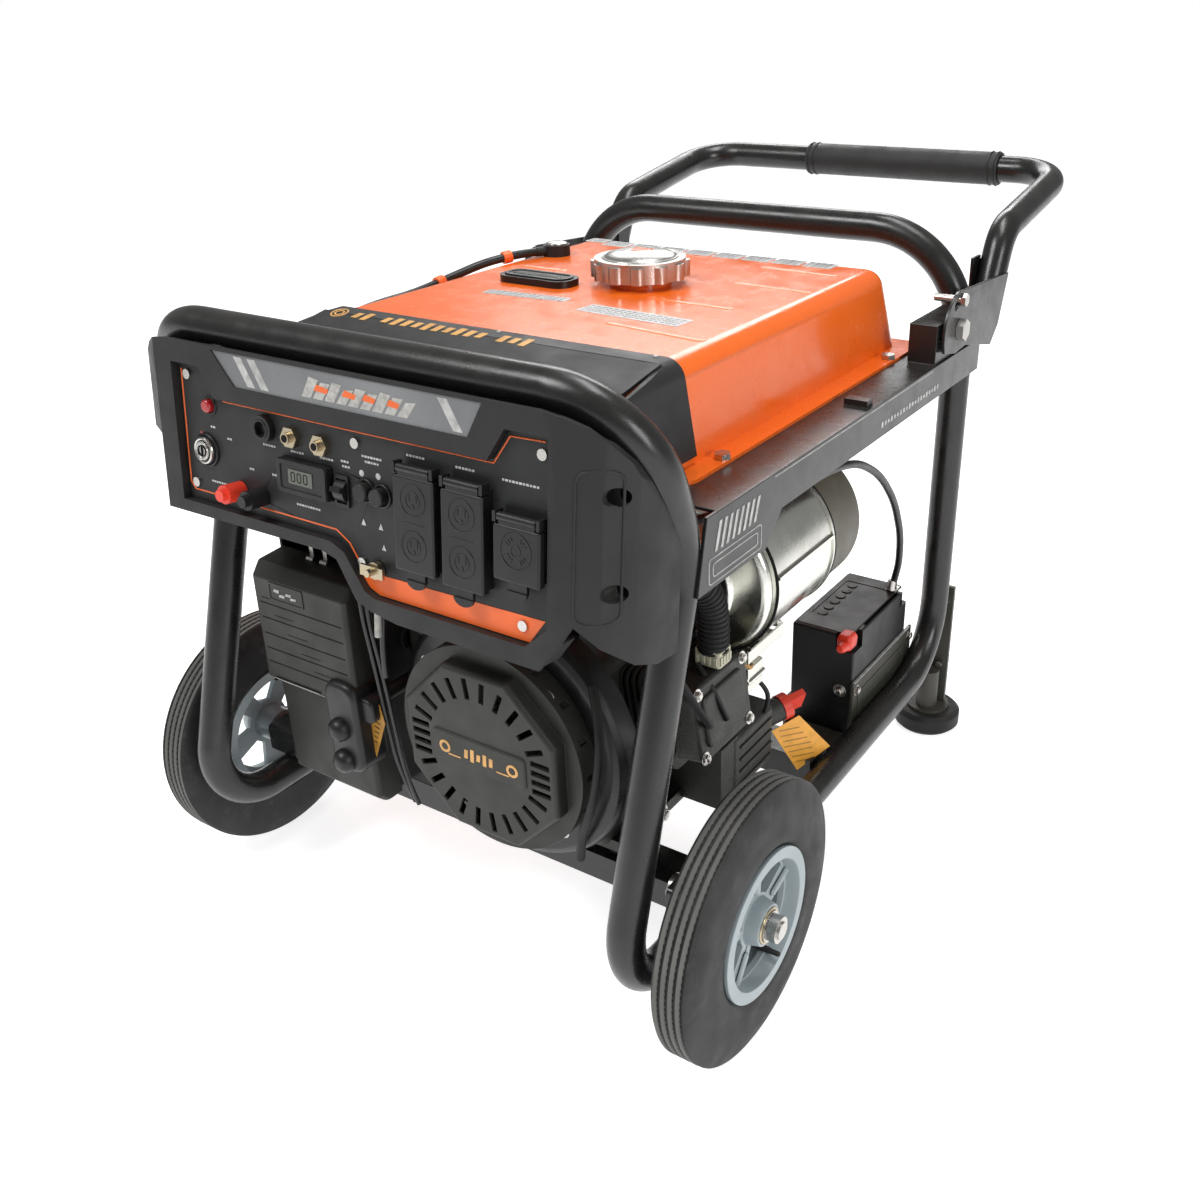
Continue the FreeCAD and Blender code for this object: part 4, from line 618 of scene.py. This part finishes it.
def duplex_emboss(bm, place):
    """Two rings, a pair of blade slots and the earth pin."""
    hoop(bm, 12.2, 0.55, place)
    hoop(bm, 6.8, 0.45, place)
    for x in (-3.4, 3.4):
        slab(bm, (1.3, 5.5, 0.7), (x, 1.5, 0), place)
    hexagon(bm, 1.7, -0.2, 0.4, place @ moved(0, -4.4, 0))


def twist_emboss(bm, place):
    """Two rings and four curved slots."""
    hoop(bm, 13.6, 0.55, place)
    for quarter in range(4):
        for step in (-17, 0, 17):
            slab(bm, (1.5, 3.4, 0.8), (0, 8.8, 0), place @ turned(90 * quarter + 45 + step))
    hoop(bm, 4.2, 0.45, place)


def dress_covers():
    """Embossed sockets and the finger tab of each flip cover."""
    for body, (node, x, heights) in COVERS.items():
        low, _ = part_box(node)
        duplex = len(heights) == 2
        bm = bmesh.new()
        for v in heights:
            (duplex_emboss if duplex else twist_emboss)(bm, on_panel(x, v, COVER_FACE))
        if duplex:
            slab(bm, (22, 0.7, 0.6), (0, 0, 0), on_panel(x, sum(heights) / 2, COVER_FACE))
        bottom = (PANEL.inverted() @ Vector((x * MM, low.y, low.z))).y / MM
        turns = [math.radians(a) for a in range(180, 361, 15)]
        tab = [(9.5 * math.cos(a), 6.5 * math.sin(a)) for a in turns]
        prism(bm, tab, -3.2, -0.8, on_panel(x, bottom + 1.5, COVER_FACE))
        finished(f"{node}_emboss", bm, "socket_plastic", body, edge=0.12)


def dress_wings():
    """The moulded recess, and the sunk bolts of the deep right wing drawn near black as painted shade in
    their holes.
    """
    bm = bmesh.new()
    # painted shade: near-black bolt bodies stand for the shade inside their holes
    for v in (39.5, -31):
        place = on_panel(246, v, -41)
        round_body(bm, [(6.6, 0), (6.6, 6), (5.4, 7.2), (3.2, 7.2), (3, 5)], place, 28)
    finished("wing_bolt_hole_shade", bm, "flat_black_and_shade", edge=0.2)
    outline = [on_panel(x, v, 0).translation / MM for x, v in rounded(27, 112, 8, 236, 0, 4)]
    trace("wing_recess", "panel_bezel", outline, FROM_FRONT, 1.1, "panel_plastic")


repaint("panel_sockets", "socket_plastic", lambda middle: middle.x < INPUT_SOCKET_EDGE * MM)
dress_panel_face()
dress_panel_marks()
dress_controls()
dress_meter()
dress_covers()
dress_wings()


# ---------------------------------------------------------------- fuel tank

HOSE = [(-171.6, -18.8, 587), (-182, -42, 587), (-198, -76, 583), (-212, -118, 573), (-217, -168, 566)]


def tank_top():
    """Height of the tank's flat top, where the gauge stands."""
    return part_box("fuel_gauge")[0].z / MM


def top_middle(low, high):
    """A place at the middle of a box's top."""
    return Matrix.Translation(Vector(((low.x + high.x) / 2, (low.y + high.y) / 2, high.z)))


def dress_tank_ribs():
    """Shallow ribs pressed in the top: x, y, length, width and turn of each."""
    bm = bmesh.new()
    for x, y, long, wide, turn in ((120, -226, 112, 14, -7), (92, -122, 96, 13, -2), (130, -28, 88, 13, -4),
                                   (118, 52, 92, 13, -4), (-128, -60, 60, 12, 0)):
        foot = rounded(long, wide, wide / 2 - 0.01)
        crest = rounded(long - 7, wide - 7, (wide - 7) / 2 - 0.01)
        shoulder = [(px * 0.99, py * 0.86) for px, py in foot]
        skin(bm, [level(foot, -0.4), level(shoulder, 0.3), level(crest, 1.0)],
             moved(x, y, tank_top()) @ turned(turn))
    finished("tank_ribs", bm, "tank_paint", edge=1.4)


def dress_tank_labels():
    """Grey labels on the top with rows of plain dark bars."""
    labels = bmesh.new()
    bars = bmesh.new()
    strips = [(72, -188, 116, 27, -4), (-64, -172, 96, 16, 4)]
    strips += [(-134 + i * 37, 88, 34, 25, 0) for i in range(8)]
    strips += [(-168, 96, 26, 20, 0)]
    for x, y, long, wide, turn in strips:
        place = moved(x, y, tank_top()) @ turned(turn)
        prism(labels, rounded(long, wide, 2), 0.05, 0.35, place)
        rows = round(wide / 6)
        for row in range(rows):
            for i in range(int(long / 7)):
                across = -long / 2 + 5 + i * 7
                if across < long / 2 - 4:
                    slab(bars, (4.2 + (i * 7 + row * 3) % 3, 1.6, 0.2),
                         (across, (row - (rows - 1) / 2) * 5.2, 0.4), place)
    finished("tank_labels", labels, "grey_label", edge=0.1)
    finished("tank_label_rows", bars, "socket_plastic", edge=0.03)


def dress_tank_fittings():
    """Rim and window of the gauge, the vent's cap, the hose clips and the fuel cap's dome."""
    low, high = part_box("fuel_gauge")
    place = top_middle(low, high)
    long = (high.x - low.x) / MM
    wide = (high.y - low.y) / MM
    bm = bmesh.new()
    raised_frame(bm, rounded(long - 8, wide - 8, wide / 2 - 5), rounded(long - 16, wide - 16, wide / 2 - 9),
                 -0.5, 1.6, 0.4, place)
    finished("gauge_rim", bm, "socket_plastic", edge=0.6)
    bm = bmesh.new()
    prism(bm, rounded(long - 22, 7, 3.2), 0.2, 0.9, place)
    finished("gauge_window", bm, "screen", edge=0.2)
    bm = bmesh.new()
    vent_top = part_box("vent_valve")[1].z / MM
    round_body(bm, [(12, -0.2), (12, 1.4), (9, 2.6), (4, 2.8)], moved(-160, 4, vent_top), 32)
    finished("vent_cap", bm, "zinc", edge=0.4)
    bm = bmesh.new()
    for a, b in ((HOSE[3], HOSE[4]), (HOSE[1], HOSE[2])):
        start, end = Vector(a), Vector(b)
        place = moved(*start.lerp(end, 0.28)) @ (end - start).to_track_quat("Z", "Y").to_matrix().to_4x4()
        round_body(bm, [(5.2, -5), (6.6, -5), (6.8, 0), (6.6, 5), (5.2, 5)], place, 28)
    finished("hose_clips", bm, "clip_orange", edge=0.3)
    place = top_middle(*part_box("fuel_cap"))
    bm = bmesh.new()
    round_body(bm, [(36, -1), (36, 0.6), (33, 3.2), (24, 5.4), (12, 6.4), (2, 6.6)], place, 56)
    hoop(bm, 37.5, 1.2, place)
    finished("cap_dome", bm, "zinc", "tank_cap", edge=0.3)
    bm = bmesh.new()
    for i in range(3):
        half = 11 - i * 2
        drop = i * 7
        prism(bm, [(-half, 9 - drop), (half, 9 - drop), (half - 1, 6 - drop), (1 - half, 6 - drop)],
              5.4, 6.9, place)
    finished("cap_marks", bm, "orange_line", "tank_cap", edge=0.2)


def dress_tank_cover():
    """Gold ornament strip and the two small studs of the front cover."""
    bm = bmesh.new()
    ring = seat("tank_cover", (-165, -320, 700), FROM_TOP, Y_AXIS)
    hoop(bm, 8, 0.9, ring, flat=0.5)
    hoop(bm, 4.4, 0.9, ring, flat=0.5)
    for i in range(17):
        x = -142 + i * 12.2
        if i in (2, 13):
            continue
        place = seat("tank_cover", (x, -320, 700), FROM_TOP, Y_AXIS)
        tall = 5 + (i * 5) % 3
        prism(bm, [(-4.4, -tall), (2.6, -tall), (4.6, tall), (-2.4, tall)], 0, 0.3, place)
    finished("cover_ornament", bm, "gold_mark", edge=0.08)
    bm = bmesh.new()
    for x, y in ((12, -305), (172, -305)):
        screw(bm, seat("tank_cover", (x, y, 700), FROM_TOP, Y_AXIS), 2.2)
    finished("cover_studs", bm, "pale_marks_and_highlight", edge=0.1)


dress_tank_ribs()
dress_tank_labels()
dress_tank_fittings()
dress_tank_cover()


# ---------------------------------------------------------------- air cleaner and recoil cover

def dress_air_cleaner():
    """Ribs, framed plate, pale label, clips and the elbow with its bosses."""
    node = "air_cleaner_cover"
    bm = bmesh.new()
    for i, z in enumerate((332, 316, 299, 283, 268)):
        place = seat(node, (-139, 0, z), FROM_FRONT)
        slab(bm, (108, 1.5, 1.2), (0, 0, -0.3), place)
        slab(bm, (26, 1.2, 1.0), (-38 + 15 * i, 5.5, -0.3), place)
    finished("cleaner_ribs", bm, "flat_black_and_shade", edge=0.4)
    bm = bmesh.new()
    place = seat(node, (-155, 0, 347), FROM_FRONT)
    raised_frame(bm, rounded(46, 19, 2), rounded(42, 15, 1), -0.2, 0.8, 0.1, place)
    finished("cleaner_plate", bm, "cleaner_plastic", edge=0.2)
    bm = bmesh.new()
    for i, (x, y) in enumerate(((-12, 2), (-5, -2), (4, 1), (10, -2))):
        fleck = [(x - 4, y - 1.6), (x + 3, y - 2.2 + i * 0.4), (x + 4, y + 1.6), (x - 3, y + 1.2)]
        prism(bm, fleck, 0.1, 0.6, place)
    finished("cleaner_plate_marks", bm, "pale_label", edge=0.1)
    bm = bmesh.new()
    place = seat(node, (-157, 0, 246), FROM_FRONT)
    prism(bm, rounded(62, 17, 1.5), -0.1, 0.35, place)
    finished("cleaner_label", bm, "pale_label", edge=0.1)
    bm = bmesh.new()
    for row in range(3):
        for i in range(9):
            slab(bm, (3.4 + (i + row) % 3, 1.2, 0.2), (-26 + i * 6.4, -4.6 + row * 4.6, 0.42), place)
    finished("cleaner_label_rows", bm, "grey_label", edge=0.03)
    bm = bmesh.new()
    for x in (-150, -132):
        place = moved(x, -403, 386)
        slab(bm, (5, 3, 24), (0, -3, -3), place)
        slab(bm, (8, 9, 2.4), (0, 0.5, 9), place)
        round_body(bm, [(3.0, -4.5), (3.0, 4.5)], place @ moved(0, -5.5, -13) @ turned(90, "Y"), 18)
    finished("cleaner_clips", bm, "zinc", edge=0.5)
    bm = bmesh.new()
    place = moved(-94, -441, 226) @ turned(90, "X")
    shell = rounded(42, 98, 16, steps=8)
    crown = [(x * 0.86, y * 0.94) for x, y in shell]
    skin(bm, [level(shell, -26), level(shell, 3), level(crown, 8)], place)
    prism(bm, rounded(26, 26, 9, 22, 22), -24, 0, place)
    finished("cleaner_elbow", bm, "socket_plastic", edge=3)
    bm = bmesh.new()
    for z in (225, 190):
        place = moved(-97, -448, z) @ turned(90, "X")
        round_body(bm, [(12, -2), (12, 3), (10.6, 7), (7.4, 10), (2.5, 11.4)], place, 32)
    finished("elbow_bosses", bm, "socket_plastic", edge=1)


def dress_leads():
    """The clipped leads between the air cleaner and the recoil cover, and the fuel tap's tag."""
    lead("lead_a", [(-66, -430, 396), (-64, -434, 360), (-60, -430, 300), (-56, -428, 240), (-52, -424, 180),
                    (-44, -416, 142)], 2.6)
    lead("lead_b", [(-56, -430, 396), (-54, -436, 352), (-47, -434, 300), (-44, -430, 236), (-42, -426, 178),
                    (-38, -418, 142)], 2.2)
    lead("lead_c", [(-40, -424, 396), (-40, -430, 350), (-42, -434, 318), (-44, -432, 290)], 3.2)
    lead("lead_sleeve", [(-40.6, -432.6, 372), (-41.2, -435.2, 352), (-42.2, -436.6, 334)], 3.4, "pale_label")
    bm = bmesh.new()
    place = moved(-66, -431.5, 226) @ turned(90, "X") @ turned(-14)
    prism(bm, [(0, 30), (9, 12), (2, -34), (-10, -6)], 0, 0.7, place)
    finished("tap_tag", bm, "amber_label", edge=0.1)
    bm = bmesh.new()
    for i in range(6):
        slab(bm, (8 - i * 0.8, 1.0, 0.2), (0, 14 - i * 6, 0.8), place)
    finished("tap_tag_rows", bm, "socket_plastic", edge=0.03)


def dress_recoil():
    """The raised band with its ornament, the cover's bolts and the hoses beside it."""
    low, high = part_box("recoil_cover")
    middle = (low + high) / 2
    face = Matrix.Translation(Vector((middle.x, low.y, middle.z))) @ turned(90, "X")
    bm = bmesh.new()
    outline = [(-52, 13), (-49, 16), (49, 16), (52, 13), (52, -13), (49, -16), (-49, -16), (-52, -13)]
    inner = [(x * 0.955, y * 0.86) for x, y in outline]
    skin(bm, [level(outline, -0.5), level(outline, 0.9), level(inner, 2.0)], face)
    finished("recoil_band", bm, "recoil_paint", edge=0.8)
    bm = bmesh.new()
    for x in (-38, 38):
        hoop(bm, 5, 1.4, face @ moved(x, 0, 2.0), flat=0.4)
        slab(bm, (14, 1.3, 0.5), (x * 0.72, -6.5, 2.1), face)
    for i in range(5):
        tall = (9, 13, 7, 12, 9)[i]
        x = -16 + i * 7
        prism(bm, [(x, -tall / 2), (x + 4, -tall / 2), (x + 5, tall / 2), (x + 1, tall / 2)], 1.9, 2.3, face)
    finished("recoil_ornament", bm, "gold_mark", edge=0.1)
    bm = bmesh.new()
    for angle in (48, 138, 228, 318):
        a = math.radians(angle)
        bolt(bm, face @ moved(96 * math.cos(a), 96 * math.sin(a), -21), 4.4)
    finished("recoil_bolts", bm, "zinc", edge=0.2)
    lead("recoil_hose_top", [(-12, -412, 336), (0, -428, 350), (28, -440, 364), (60, -446, 366)],
         3.6, "rubber")
    lead("recoil_hose_side", [(168, -404, 330), (186, -420, 306), (190, -430, 268), (180, -430, 226),
                              (160, -420, 186), (150, -410, 150)], 4.2, "rubber")


dress_air_cleaner()
dress_leads()
dress_recoil()


# ---------------------------------------------------------------- right-hand side

ROUTE = [(212, -283, 322), (214, -284, 352), (213, -294, 384), (203, -322, 410), (186, -360, 426),
         (170, -398, 434), (160, -435.5, 437)]


def route_points(name, points, steps):
    """Even points with directions along the smooth line through a route."""
    item = line_curve(name, points, True, 24)
    line = [v.co.copy() for v in bpy.data.meshes.new_from_object(item).vertices]
    bpy.data.objects.remove(item)
    reach = [0.0]
    for a, b in zip(line, line[1:]):
        reach.append(reach[-1] + (b - a).length)
    out = []
    k = 0
    for i in range(steps):
        want = reach[-1] * i / (steps - 1)
        while k < len(line) - 2 and reach[k + 1] < want:
            k += 1
        share = (want - reach[k]) / (reach[k + 1] - reach[k])
        out.append((line[k].lerp(line[k + 1], share), (line[k + 1] - line[k]).normalized()))
    return out


MUFFLER_X, MUFFLER_Z = 172, 362
CAP_START = -114.2
PLUG_TOP = 323.6


def dress_exhaust():
    """Olive rear cap, the seams at both ends of the can and the bracket below it."""
    repaint("muffler", "exhaust_olive", lambda middle: middle.y > CAP_START * MM)
    bm = bmesh.new()
    for y, radius in ((-114.5, 76.6), (-231, 76.2)):
        hoop(bm, radius, 1.5, moved(MUFFLER_X, y, MUFFLER_Z) @ turned(90, "X"), steps=72)
    finished("muffler_seams", bm, "flat_black_and_shade", edge=0.1)
    bm = bmesh.new()
    slab(bm, (34, 70, 2.4), (MUFFLER_X + 36, -206, MUFFLER_Z - 74))
    slab(bm, (2.4, 70, 12), (MUFFLER_X + 52, -206, MUFFLER_Z - 68))
    finished("muffler_bracket", bm, "bright_steel", edge=0.6)
    bm = bmesh.new()
    for y in (-205, -160):
        bolt(bm, moved(212, y, 289.5), 4)
    finished("muffler_bolts", bm, "zinc", edge=0.2)


def dress_conduit():
    """Corrugations of the wiring conduit and its cream plug."""
    bm = bmesh.new()
    for spot, direction in route_points("conduit_line", ROUTE, 44):
        place = Matrix.Translation(spot) @ direction.to_track_quat("Z", "Y").to_matrix().to_4x4()
        hoop(bm, 13.2, 1.5, place, steps=28, sides=6)
    finished("conduit_rings", bm, "rubber", edge=0.1)
    repaint("wiring_conduit", "cream_plug", lambda middle: middle.z < PLUG_TOP * MM)
    bm = bmesh.new()
    for i in range(4):
        slab(bm, (3.4, 1.2, 8), (203 + i * 6, -294.6, 315))
        slab(bm, (1.2, 3.4, 8), (225.6, -291 + i * 5, 315))
    finished("plug_ribs", bm, "cream_plug", edge=0.3)
    lead("plug_lead_a", [(206, -284, 309), (204, -286, 292), (196, -290, 270), (190, -300, 250)],
         2.4, "amber_label")
    lead("plug_lead_b", [(214, -280, 309), (215, -280, 290), (212, -276, 268), (206, -268, 244)], 2.2)
    lead("plug_lead_c", [(220, -276, 309), (222, -272, 286), (222, -260, 260), (216, -250, 232)],
         2.2, "pale_label")


def dress_gusset():
    """Stripes and an embossed frame on both gussets, marks along the rails, and a painted highlight along
    their upper edge.
    """
    for side, word, direction in ((1, "right", FROM_RIGHT), (-1, "left", FROM_LEFT)):
        node = f"side_rail_{word}"
        bm = bmesh.new()
        for i in range(8):
            place = seat(node, (0, -372 + i * 8.6, 477), direction)
            lean = 3.6 * side
            tall = 11.5 - i * 0.2
            prism(bm, [(-1.9 - lean, -tall), (1.9 - lean, -tall), (2.1 + lean, tall), (-1.9 + lean, tall)],
                  0, 0.35, place)
        finished(f"gusset_stripes_{word}", bm, "pale_marks_and_highlight", edge=0.1)
        bm = bmesh.new()
        for wide, tall in ((82, 21), (70, 11)):
            outline = [(0, y, z) for y, z in rounded(wide, tall, 3, -345, 451, 3)]
            trace(f"gusset_frame_{word}_{wide}", node, outline, direction, 0.55, "pale_marks_and_highlight")
        for i in range(20):
            place = seat(node, (0, -66 + i * 7.4, 474), direction)
            slab(bm, (4.4, 5.5 - i % 3, 0.4), (0, 0, 0.1), place)
        finished(f"rail_marks_{word}", bm, "pale_marks_and_highlight", edge=0.1)
    # painted highlight: a row of pale bars along each rail's upper edge
    lines = bmesh.new()
    for node, direction in (("side_rail_right", FROM_RIGHT), ("side_rail_left", FROM_LEFT)):
        for y in range(-280, 60, 4):
            slab(lines, (4.1, 0.9, 0.5), place=seat(node, (0, y, 494), direction))
    finished("rail_edge_highlight", lines, "pale_marks_and_highlight", edge=0.1)


def dress_battery():
    """Lid line, vent plugs, red terminal boot, front nut and cable lug of the battery."""
    low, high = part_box("battery")
    x0, y0, top = low.x / MM, low.y / MM, high.z / MM
    bm = bmesh.new()
    well = rounded(50, 96, 3, x0 + 34, y0 + 78)
    skin(bm, [level(rounded(70, 144, 4, x0 + 36, y0 + 75), top - 0.5),
              level(rounded(68, 142, 4, x0 + 36, y0 + 75), top + 1.0),
              level(well, top + 1.0), level(well, top + 0.2)])
    finished("battery_lid_line", bm, "battery_case", edge=0.4)
    bm = bmesh.new()
    for i in range(6):
        round_body(bm, [(6, 0), (6, 0.9), (5.2, 1.5), (2, 1.6)], moved(x0 + 20, y0 + 36 + i * 16, top), 22)
    finished("battery_vents", bm, "battery_case", edge=0.2)
    bm = bmesh.new()
    boot = moved(x0 + 66, y0 + 3, top - 6)
    skin(bm, [level(rounded(16, 20, 4), -9), level(rounded(18, 22, 4), 3), level(rounded(13, 16, 4), 9)],
         boot)
    round_body(bm, [(5.5, -8), (6, 8), (4.5, 16)], boot @ moved(2, -8, -3) @ turned(80, "X"), 22)
    finished("battery_boot", bm, "red_plastic", edge=2)
    bm = bmesh.new()
    bolt(bm, moved(x0 + 62, y0 - 0.5, top - 70) @ turned(90, "X"), 5)
    finished("battery_front_nut", bm, "zinc", edge=0.3)
    bm = bmesh.new()
    lug = moved(218, 124, 207)
    slab(bm, (12, 16, 2), (0, 0, 1), lug)
    bolt(bm, lug @ moved(0, 0, 2), 4.6)
    round_body(bm, [(5, 0), (5, 12)], lug @ moved(0, -7, 2) @ turned(-12, "X"), 20)
    finished("battery_lug", bm, "zinc", edge=0.3)


def dress_battery_holder():
    """Painted highlight along the upper edge, embossed lines and bolts of the holder's side plate."""
    node = "battery_holder"
    bm = bmesh.new()
    # painted highlight: a pale strip along the top edge of the holder's side plate
    slab(bm, (3.2, 158, 1.2), (231.5, 70.5, 149.6))
    finished("holder_edge_highlight", bm, "pale_marks_and_highlight", edge=0.2)
    bm = bmesh.new()
    place = seat(node, (0, 66, 102), FROM_RIGHT)
    raised_frame(bm, rounded(130, 66, 6), rounded(124, 60, 4), -0.2, 1.0, 0.2, place)
    for i in range(3):
        slab(bm, (96 - i * 14, 2.2, 0.8), (-4, 16 - i * 15, 0.4), place)
    finished("holder_emboss", bm, "holder_olive", edge=0.5)
    bm = bmesh.new()
    for y, z in ((-4, 140), (-4, 62), (146, 62), (146, 140)):
        bolt(bm, seat(node, (0, y, z), FROM_RIGHT), 4.2)
    finished("holder_bolts", bm, "zinc", edge=0.2)


def dress_dipstick():
    """The tag that hangs from the oil plug, and its printed rows."""
    bm = bmesh.new()
    place = moved(222, -128, 168) @ turned(62, "Z") @ turned(90, "X")
    prism(bm, [(-32, -6), (2, 2), (44, -50), (2, -66)], 0, 0.6, place)
    finished("plug_tag", bm, "warning_tag", edge=0.1)
    bm = bmesh.new()
    for i in range(7):
        slab(bm, (34 - abs(i - 3) * 3, 1.5, 0.2), (-8 + i * 4.6, -12 - i * 7, 0.75), place @ turned(-8))
    finished("plug_tag_rows", bm, "amber_label", edge=0.03)


def dress_front_gear():
    """The small regulator can and the loose wires under the conduit."""
    bm = bmesh.new()
    place = moved(214, -216, 262)
    prism(bm, rounded(12, 30, 3), -13, 13, place)
    prism(bm, rounded(16, 34, 3), -3, 1, place)
    finished("regulator", bm, "bright_steel", edge=1)
    bm = bmesh.new()
    prism(bm, rounded(14, 30, 3), -8, 8, moved(214, -256, 286) @ turned(20, "X"))
    finished("plug_block", bm, "cream_plug", edge=1)
    lead("wire_a", [(214, -246, 292), (220, -238, 284), (222, -228, 276), (216, -218, 274)],
         1.8, "amber_label")
    lead("wire_b", [(212, -268, 284), (222, -280, 270), (226, -276, 246), (220, -262, 226), (214, -250, 214)],
         2.4, "rubber")
    lead("wire_c", [(214, -206, 252), (222, -196, 238), (220, -190, 216), (213, -184, 202)], 2.4, "rubber")
    lead("wire_d", [(216, -262, 280), (226, -262, 262), (224, -248, 242), (214, -236, 232)],
         1.6, "white_mark")
    lead("wire_e", [(206, -300, 312), (224, -308, 300), (232, -304, 280), (234, -296, 262)], 3.0, "rubber")


dress_exhaust()
dress_conduit()
dress_gusset()
dress_battery()
dress_battery_holder()
dress_dipstick()
dress_front_gear()


# ---------------------------------------------------------------- engine castings

CRANK_X, CRANK_Z = 70, 248
CYLINDER_LEAN = 8


def dress_alternator():
    """End rings, bolts and cooling fins of the alternator."""
    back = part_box("alternator_housing")[1].y / MM
    bm = bmesh.new()
    for angle in (45, 135, 225, 315):
        a = math.radians(angle)
        place = moved(CRANK_X + 62 * math.cos(a), back, CRANK_Z + 62 * math.sin(a))
        bolt(bm, place @ turned(-90, "X"), 4)
    finished("alternator_bolts", bm, "zinc", edge=0.2)
    bm = bmesh.new()
    face = moved(CRANK_X, back, CRANK_Z) @ turned(-90, "X")
    hoop(bm, 52, 2.2, face, steps=64, flat=0.8)
    hoop(bm, 24, 1.8, face, steps=48, flat=0.8)
    finished("alternator_rings", bm, "cast_alloy", edge=0.2)
    bm = bmesh.new()
    for y in range(-222, -12, 9):
        hoop(bm, 74, 1.3, moved(CRANK_X, y, CRANK_Z) @ turned(90, "X"), steps=64, sides=6)
    finished("alternator_fins", bm, "cast_alloy", edge=0.2)


def dress_engine():
    """Valve cover dome and bolts, crankcase bolts and ribs, and the spark lead."""
    bm = bmesh.new()
    bore = moved(CRANK_X, -292, CRANK_Z) @ turned(90 - CYLINDER_LEAN, "Y")
    dome = [level(rounded(52, 70, 8), -0.4), level(rounded(50, 68, 8), 2.4), level(rounded(44, 62, 6), 3.2)]
    skin(bm, dome, bore @ moved(0, 0, 160.4))
    finished("valve_cover_dome", bm, "cast_alloy", edge=1.2)
    bm = bmesh.new()
    for x, y in ((-31, -39), (31, -39), (31, 39), (-31, 39)):
        bolt(bm, bore @ moved(x, y, 160.2), 4)
    finished("valve_cover_bolts", bm, "zinc", edge=0.2)
    bm = bmesh.new()
    for x, z in ((198, 150), (198, 184), (160, 150)):
        bolt(bm, moved(x, -240.2, z) @ turned(90, "X"), 4.4)
    bolt(bm, moved(165, -300, 134) @ turned(90, "Y"), 6)
    finished("crankcase_bolts", bm, "zinc", edge=0.2)
    bm = bmesh.new()
    for z in range(144, 187, 14):
        slab(bm, (3, 64, 3), (212.4, -199, z))
    finished("housing_ribs", bm, "cast_alloy", edge=0.8)
    lead("spark_lead", [(228, -318, 268), (240, -330, 272), (240, -352, 300), (226, -366, 340),
                        (196, -372, 372), (160, -370, 384)], 3.4, "rubber")


dress_alternator()
dress_engine()


# ---------------------------------------------------------------- wheels, feet and handle

WHEEL_Y, WHEEL_Z = -376, 127
TREAD = 126.2
AXLE_END = 333.5


def on_tread(middle):
    return math.hypot(middle.y - WHEEL_Y * MM, middle.z - WHEEL_Z * MM) > TREAD * MM


def dress_wheel(side, word):
    """Paler tread, partly dust and partly painted highlight, bead lines, valve stem, spoke ribs and hub ring
    of a wheel, and its axle's end.
    """
    body = f"{word}_wheel"
    # the tread's outer faces get a paler grey: dust, and a painted highlight on the ribs
    repaint(f"tyre_{word}", "tread_dust_and_highlight", on_tread)
    low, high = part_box(f"tyre_{word}")
    outer = (high.x if side > 0 else low.x) / MM
    place = moved(outer, WHEEL_Y, WHEEL_Z) @ turned(90 * side, "Y")
    bm = bmesh.new()
    hoop(bm, 84, 1.1, place @ moved(0, 0, -1.2), steps=72, flat=0.7)
    hoop(bm, 98, 0.8, place @ moved(0, 0, -5.0), steps=72, flat=0.7)
    finished(f"bead_lines_{word}", bm, "tyre", body, edge=0.1)
    bm = bmesh.new()
    stem = [(3, -8), (3, 6), (2.4, 10), (2.4, 17), (1.4, 18)]
    round_body(bm, stem, place @ moved(46, 18, -14), 18)
    finished(f"valve_stem_{word}", bm, "rubber", body, edge=0.3)
    bm = bmesh.new()
    for i in range(5):
        spoke = place @ turned(72 * i + 36) @ moved(44, 0, -11)
        skin(bm, [level(rounded(34, 9, 4), 0), level(rounded(29, 5, 2.2), 2.6)], spoke)
    finished(f"spoke_ribs_{word}", bm, "rim_paint", body, edge=1)
    bm = bmesh.new()
    hoop(bm, 15.4, 1.5, place @ moved(0, 0, 1.4), flat=0.8)
    finished(f"hub_ring_{word}", bm, "brass", body, edge=0.2)
    bm = bmesh.new()
    end = moved(AXLE_END * side, WHEEL_Y, WHEEL_Z) @ turned(90 * side, "Y")
    round_body(bm, [(6.6, -0.2), (6.6, 0.8), (5.4, 2.0), (2, 2.2)], end, 28)
    finished(f"axle_end_{word}", bm, "brass", edge=0.2)


def dress_handle():
    """End rings and fine grooves of the grip."""
    low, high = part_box("handle_grip")
    middle = (low + high) / 2
    rings = [(x, 20.2, 1.0) for x in (low.x + 0.004, low.x + 0.012, high.x - 0.012, high.x - 0.004)]
    rings += [(low.x + (high.x - low.x) * (0.13 + 0.0925 * i), 19.75, 0.5) for i in range(9)]
    bm = bmesh.new()
    for x, radius, wire in rings:
        place = Matrix.Translation(Vector((x, middle.y, middle.z))) @ turned(90, "Y")
        hoop(bm, radius, wire, place, steps=40)
    finished("grip_rings", bm, "foam", "tow_handle", edge=0.1)


dress_wheel(1, "right")
dress_wheel(-1, "left")
dress_handle()
